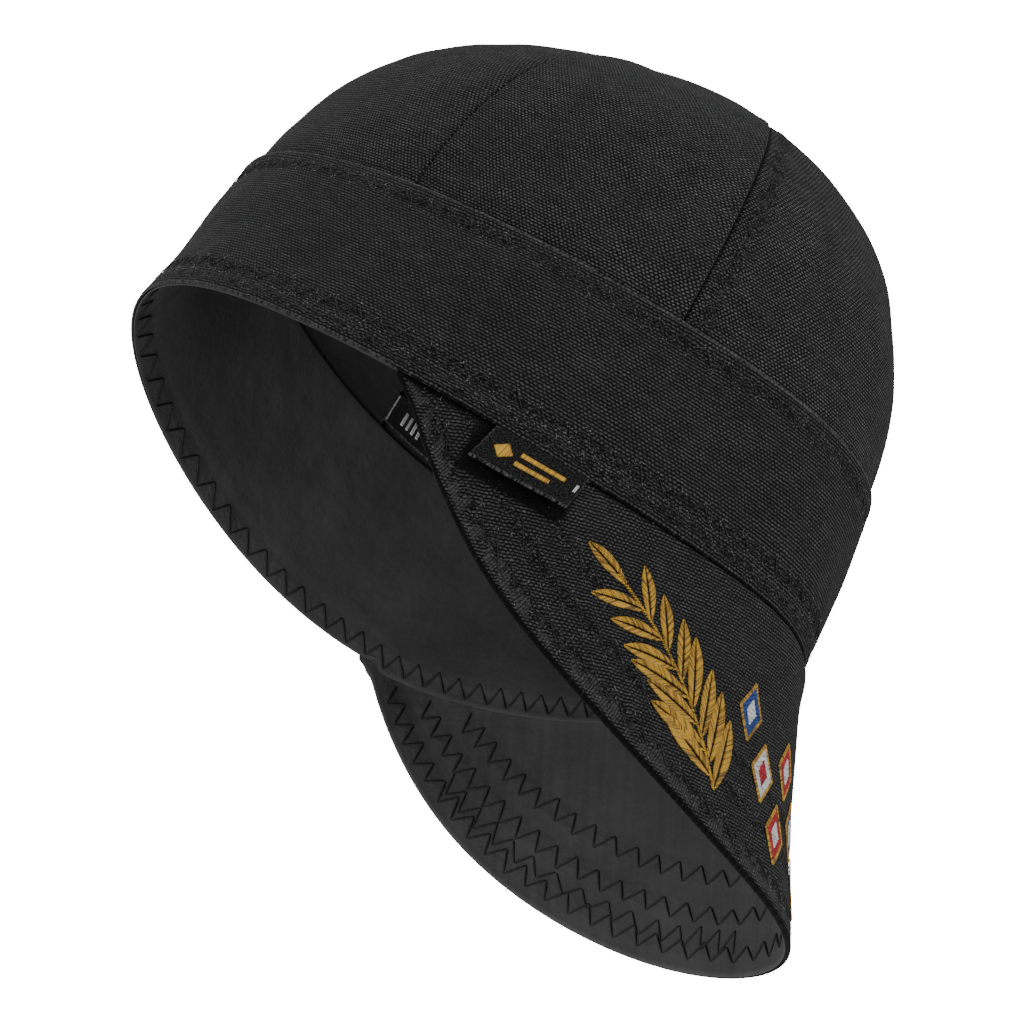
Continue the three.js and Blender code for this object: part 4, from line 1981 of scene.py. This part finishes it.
    def build_size(self, shelf: Shelf) -> None:
        """Makes the size tag with its plain woven bars.

        Args:
            shelf: the finishes.
        """
        across, up = np.meshgrid(np.linspace(0, 1, 49), np.linspace(0, 1, 27))
        curl = 0.5 * (1 - up) ** 2
        points = self.size_point(across, up, 0.6 + curl)
        width = np.linalg.norm(points[0, -1] - points[0, 0])
        high = self.size_high - self.size_low
        hem = np.minimum(np.minimum(across, 1 - across) * width, np.minimum(up, 1 - up) * high)
        made = Weft("size_tag_tape", points, {
            "cloth": np.stack([across * width, up * high], -1),
            "rows": np.stack([0 * hem + 9, hem], -1)}).build()
        dress(made, (shelf.get(SATIN_TAPE),))
        thicken(made, self.size_wall)
        sew_on(made, "woven_tape", "size_label")
        rows = Stitches("size_tag_bars", WHITE_YARN, 0.36, 0.2)
        starts, ends = [], []
        for left in (0.24, 0.33, 0.42, 0.51):
            for at in np.arange(0.0, 0.035, 0.008):
                starts.append((left + at, 0.24))
                ends.append((left + at, 0.72))
        for at in np.arange(0.05, 0.95, 0.05):
            starts.append((0.02, at))
            ends.append((0.045, at + 0.02))
        placed = [self.size_point(part[:, 0], part[:, 1], 0.62 + 0.5 * (1 - part[:, 1]) ** 2)
                  for part in (np.array(starts), np.array(ends))]
        part = np.array(starts)
        out = unit(self.size_point(part[:, 0], part[:, 1], part[:, 0] * 0 + 3.0)
                   - self.size_point(part[:, 0], part[:, 1], part[:, 0] * 0 + 2.0))
        rows.lay(placed[0], placed[1], out)
        sew_on(rows.build(shelf, 93), "woven_tape")


@dataclass
class Sprig:
    """A laurel sprig and a run of edged lozenges, sewn in raised thread.

    Flat places are in millimetres: across towards the side of the cap from its
    front line, and down from the rim.

    Attributes:
        shape, brim: the surfaces of the cap and the brim that it is sewn on.
        gap: distance between the strands of a leaf.
        stem: the three points of the curve that the stem follows.
        pairs: how many pairs of leaves it bears.
        leaf_long, leaf_wide: size of the largest leaf.
        lozenges: middle of each lozenge, its thread and that of its small heart.
        lozenge_wide, lozenge_high: half sizes of a lozenge.
        heart: size of the heart as a share of the lozenge.
        per_degree: millimetres across for one degree round the cap.
    """

    shape: CapShape
    brim: Brim
    stem: tuple[tuple[float, float], ...] = ((61.5, 58.0), (72.0, 36.0), (106.0, 19.0))
    pairs: int = 7
    leaf_long: float = 22.0
    leaf_wide: float = 6.2
    lozenges: tuple[tuple[float, float, str, str], ...] = (
        (51.5, 31.0, "blue", "white"), (42.5, 44.5, "white", "red"),
        (33.0, 57.5, "red", "white"), (28.5, 38.0, "red", "white"),
        (19.0, 51.0, "blue", "white"), (7.5, 62.0, "white", "red"),
    )
    lozenge_wide: float = 5.2
    lozenge_high: float = 8.0
    heart: float = 0.46
    per_degree: float = 1.8
    gap: float = 0.44

    def on_brim(self, flat: Array, side: Side, stand: float) -> tuple[Array, Array]:
        """Works out places on the brim's outer face.

        Args:
            flat: the flat places.
            side: the half of the cap.
            stand: distance from the face.

        Returns:
            The places and the normals there.
        """
        angle = np.radians(flat[:, 0] / self.per_degree)
        reach = flat[:, 1] / self.shape.depth_at(angle)
        angle = angle * side.value
        out = normals(self.shape.brim, angle, reach, flip=True)
        return self.brim.face(angle, reach, self.brim.wall / 2 + stand), out

    def curve(self, part: Array) -> tuple[Array, Array]:
        """Works out points on the stem.

        Args:
            part: shares of its length.

        Returns:
            The flat places and its direction there.
        """
        first, second, third = (np.array(point) for point in self.stem)
        part = np.asarray(part, float)[..., None]
        place = first * (1 - part) ** 2 + second * 2 * part * (1 - part) + third * part ** 2
        way = (second - first) * (1 - part) + (third - second) * part
        return place, unit(way)

    def leaf(self, base: Array, way: Array, long: float, wide: float) -> tuple[Array, Array]:
        """Lists the satin strands of one leaf, from its midrib out to its edge.

        Args:
            base: flat place of its foot.
            way: flat direction of its midrib.
            long, wide: its size.

        Returns:
            Flat starts and ends of the strands.
        """
        beside = np.array([-way[1], way[0]])
        at = np.arange(0.02, 0.97, self.gap / long)
        starts, ends = [], []
        for sign in (1.0, -1.0):
            half = wide / 2 * np.sin(np.clip(at + 0.03, 0, 1) ** 0.8 * math.pi) ** 0.85
            bend = 0.10 * long * at ** 2
            rib = base + way * (at * long)[:, None] + beside * bend[:, None]
            ahead = np.minimum(at * long + half * 1.1, long * 1.0)
            tip = base + way * ahead[:, None] + beside * (bend + sign * half)[:, None]
            starts.append(rib + beside * (0.22 * sign))
            ends.append(tip)
        return np.concatenate(starts), np.concatenate(ends)

    def sew_sprig(self, rows: Stitches, side: Side) -> None:
        """Sews the stem and the leaves.

        Args:
            rows: the piece that they are part of.
            side: the half of the cap.
        """
        draw = np.random.default_rng(5)
        at = np.linspace(0, 1, 90)
        place, way = self.curve(at)
        beside = np.stack([-way[:, 1], way[:, 0]], -1)
        self.put(rows, place - beside * 0.45 - way * 0.5, place + beside * 0.45 + way * 0.5,
                 side, 0.05)
        for number in range(self.pairs + 1):
            share = 0.03 + 0.93 * number / self.pairs
            foot, way = self.curve(share)
            size = 1.0 - 0.36 * share + draw.normal(0, 0.03)
            for sign in ((1, -1) if number < self.pairs else (0,)):
                turn = math.radians(sign * (38 + draw.normal(0, 2.5)))
                lean = np.array([way[0] * math.cos(turn) - way[1] * math.sin(turn),
                                 way[0] * math.sin(turn) + way[1] * math.cos(turn)])
                start, end = self.leaf(foot + way * (1.6 * sign), lean,
                                       self.leaf_long * size, self.leaf_wide * size)
                self.put(rows, start, end, side, 0.16)

    def put(self, rows: Stitches, starts: Array, ends: Array, side: Side,
            stand: float) -> None:
        """Lays strands on the brim.

        Args:
            rows: the piece that they are part of.
            starts, ends: the flat places of their ends.
            side: the half of the cap.
            stand: how far they start off the cloth.
        """
        first, out = self.on_brim(starts, side, stand)
        last, _ = self.on_brim(ends, side, stand * 0.4)
        rows.lay(first, last, out)

    def filled(self, middle: Array, size: float) -> tuple[Array, Array]:
        """Lists the strands that fill a lozenge.

        Args:
            middle: its flat middle.
            size: its size, 1 for the full one.

        Returns:
            Flat starts and ends of the strands.
        """
        fill_a, fill_b = [], []
        high, wide = self.lozenge_high * size, self.lozenge_wide * size
        for number, down in enumerate(np.arange(-high + 0.3, high - 0.2, 0.34)):
            half = wide * (1 - abs(down) / high)
            cuts = np.arange(-half, half, 2.6 if size > 0.6 else 9.0)
            shift = (number % 3) * 0.8
            marks = np.unique(np.clip(np.concatenate([[-half], cuts + shift, [half]]),
                                      -half, half))
            for left, right in zip(marks[:-1], marks[1:]):
                if right - left > 0.2:
                    fill_a.append((left, down))
                    fill_b.append((right + 0.15, down + 0.05))
        return np.array(fill_a) + middle, np.array(fill_b) + middle

    def edged(self, middle: Array) -> tuple[Array, Array]:
        """Lists the strands that edge a lozenge.

        Args:
            middle: its flat middle.

        Returns:
            Flat starts and ends of the strands.
        """
        edge_a, edge_b = [], []
        corners = np.array([(0, -self.lozenge_high), (self.lozenge_wide, 0),
                            (0, self.lozenge_high), (-self.lozenge_wide, 0)])
        for number in range(4):
            a, b = corners[number], corners[(number + 1) % 4]
            way = unit(b - a)
            beside = np.array([way[1], -way[0]])
            for share in np.arange(0.0, 1.0, 0.36 / np.linalg.norm(b - a)):
                point = a + (b - a) * share
                edge_a.append(point - beside * 0.55 - way * 0.1)
                edge_b.append(point + beside * 0.55 + way * 0.1)
        return np.array(edge_a) + middle, np.array(edge_b) + middle

    def build(self, shelf: Shelf) -> None:
        """Sews the design on both sides of the brim.

        Args:
            shelf: the finishes.
        """
        rings = (0.0, 0.12, 0.5, 0.88, 1.0)
        gold = Stitches("gold_embroidery", GOLD_YARN, 0.46, 0.36, 5, rings)
        threads = {
            "blue": Stitches("blue_embroidery", BLUE_YARN, 0.44, 0.28, 5, rings),
            "white": Stitches("white_embroidery", WHITE_YARN, 0.44, 0.28, 5, rings),
            "red": Stitches("red_embroidery", RED_YARN, 0.44, 0.28, 5, rings),
        }
        for side in Side:
            self.sew_sprig(gold, side)
            for across, down, thread, inner in self.lozenges:
                middle = np.array([across, down])
                self.put(threads[thread], *self.filled(middle, 1.0), side, 0.10)
                self.put(threads[inner], *self.filled(middle, self.heart), side, 0.30)
                self.put(gold, *self.edged(middle), side, 0.20)
        for number, rows in enumerate((gold, *threads.values())):
            sew_on(rows.build(shelf, 100 + number), "brim_duck")


def main() -> None:
    """Builds the scene."""
    logging.basicConfig(level=logging.INFO, format="%(name)s %(message)s")
    shape, shelf = CapShape(), Shelf()
    View().place()
    band = SideBand(shape)
    band.build(shelf)
    band.stitch(shelf)
    crown = Crown(shape)
    crown.build(shelf)
    crown.stitch(shelf)
    lining = LiningBand(shape)
    lining.build(shelf)
    lining.stitch(shelf)
    brim = Brim(shape)
    brim.build(shelf)
    brim.stitch(shelf)
    tags = SewnTags(shape, brim)
    tags.build(shelf)
    tags.tab_bars(shelf)
    tags.build_size(shelf)
    Sprig(shape, brim).build(shelf)
    Studio().build()


@dataclass(frozen=True)
class View:
    """The camera, low at the wearer's right and turned about its own axis.

    Attributes:
        azimuth, elevation, roll: where it stands and how far it is turned, in degrees.
        distance: how far it is from the middle of the head opening.
        focal: focal length in pixels of the square picture.
        left, up: where that middle lies in the picture, in pixels from its centre.
        picture, sensor: width of the picture in pixels and of the sensor.
    """

    azimuth: float = 7.664
    elevation: float = -22.609
    roll: float = 30.129
    distance: float = 877.0
    focal: float = 3266.635
    left: float = -50.783
    up: float = -10.704
    picture: int = 1024
    sensor: float = 36.0

    def place(self) -> None:
        """Adds the camera and aims it."""
        az, el = math.radians(self.azimuth), math.radians(self.elevation)
        roll = math.radians(self.roll)
        back = Vector((-math.cos(az) * math.cos(el), -math.sin(az) * math.cos(el),
                       math.sin(el)))
        ahead = -back
        level = ahead.cross(Vector((0, 0, 1))).normalized()
        rise = level.cross(ahead)
        right = level * math.cos(roll) + rise * math.sin(roll)
        top = rise * math.cos(roll) - level * math.sin(roll)
        aim = ahead - right * (self.left / self.focal) + top * (self.up / self.focal)
        aim.normalize()
        side = aim.cross(top).normalized()
        head = side.cross(aim)
        turn = Matrix((side, head, -aim)).transposed()
        lens = bpy.data.cameras.new("camera")
        lens.sensor_width = self.sensor
        lens.lens = self.focal / self.picture * self.sensor
        lens.clip_start, lens.clip_end = 0.05, 50.0
        made = bpy.data.objects.new("camera", lens)
        bpy.context.scene.collection.objects.link(made)
        made.matrix_world = Matrix.Translation(back * self.distance * MM) @ turn.to_4x4()
        bpy.context.scene.camera = made


@dataclass(frozen=True)
class Studio:
    """A pale floor, a white surround and large soft lamps.

    Attributes:
        floor_z: height of the floor in metres.
        surround, backdrop: brightness of the surround for the cap and for the camera.
    """

    floor_z: float = -0.46
    surround: float = 0.28
    backdrop: float = 16.0

    def lamp(self, name: str, place: Colour, aim: Colour, size: float, power: float) -> None:
        """Adds one square lamp.

        Args:
            name: name of the lamp.
            place, aim: where it stands and the point that it faces.
            size, power: length of its side and its power.
        """
        light = bpy.data.lights.new(name, "AREA")
        light.energy, light.size = power, size
        made = bpy.data.objects.new(name, light)
        bpy.context.scene.collection.objects.link(made)
        made.visible_camera = False
        made.location = place
        way = Vector(aim) - Vector(place)
        made.rotation_euler = way.to_track_quat("-Z", "Y").to_euler()

    def build(self) -> None:
        """Adds the floor, the surround and the lamps."""
        bpy.ops.mesh.primitive_plane_add(size=6.0, location=(0, 0, self.floor_z))
        floor = bpy.context.object
        floor.name = "floor"
        bench = NodeBench("pale_floor")
        place = bench.node("ShaderNodeTexCoord").outputs["Object"]
        tone = bench.noise(place, 3.0, 2.0) * 0.02 + 0.82
        colour = bench.node("ShaderNodeCombineColor", {}, {0: tone, 1: tone, 2: tone})
        floor.data.materials.append(bench.finish({
            "Base Color": colour.outputs[0], "Roughness": 0.9}))
        world = bpy.data.worlds.new("surround")
        bpy.context.scene.world = world
        world.use_nodes = True
        sky = world.node_tree.nodes["Background"]
        sky.inputs[0].default_value = (1.0, 1.0, 1.0, 1.0)
        rays = world.node_tree.nodes.new("ShaderNodeLightPath")
        share = world.node_tree.nodes.new("ShaderNodeMapRange")
        share.inputs["To Min"].default_value = self.surround
        share.inputs["To Max"].default_value = self.backdrop
        world.node_tree.links.new(rays.outputs["Is Camera Ray"], share.inputs["Value"])
        world.node_tree.links.new(share.outputs[0], sky.inputs[1])
        self.lamp("rear", (-0.1, 0.8, 0.95), (0, 0, 0.05), 1.2, 5.8)
        self.lamp("front", (-0.5, -1.2, 0.3), (0, 0, 0.05), 0.8, 6.6)
        self.lamp("far", (1.0, 0.3, 0.4), (0, 0, 0.05), 0.9, 3.2)
        self.lamp("key", (-0.62, -0.25, 0.85), (0, 0, 0.0), 0.25, 1.9)
        self.lamp("near", (-1.1, 0.1, 0.2), (0, 0, 0.0), 0.6, 1.3)
        self.lamp("under", (-0.14, 0.16, -0.42), (0, 0, 0.05), 0.4, 1.35)


if __name__ == "__main__":
    main()
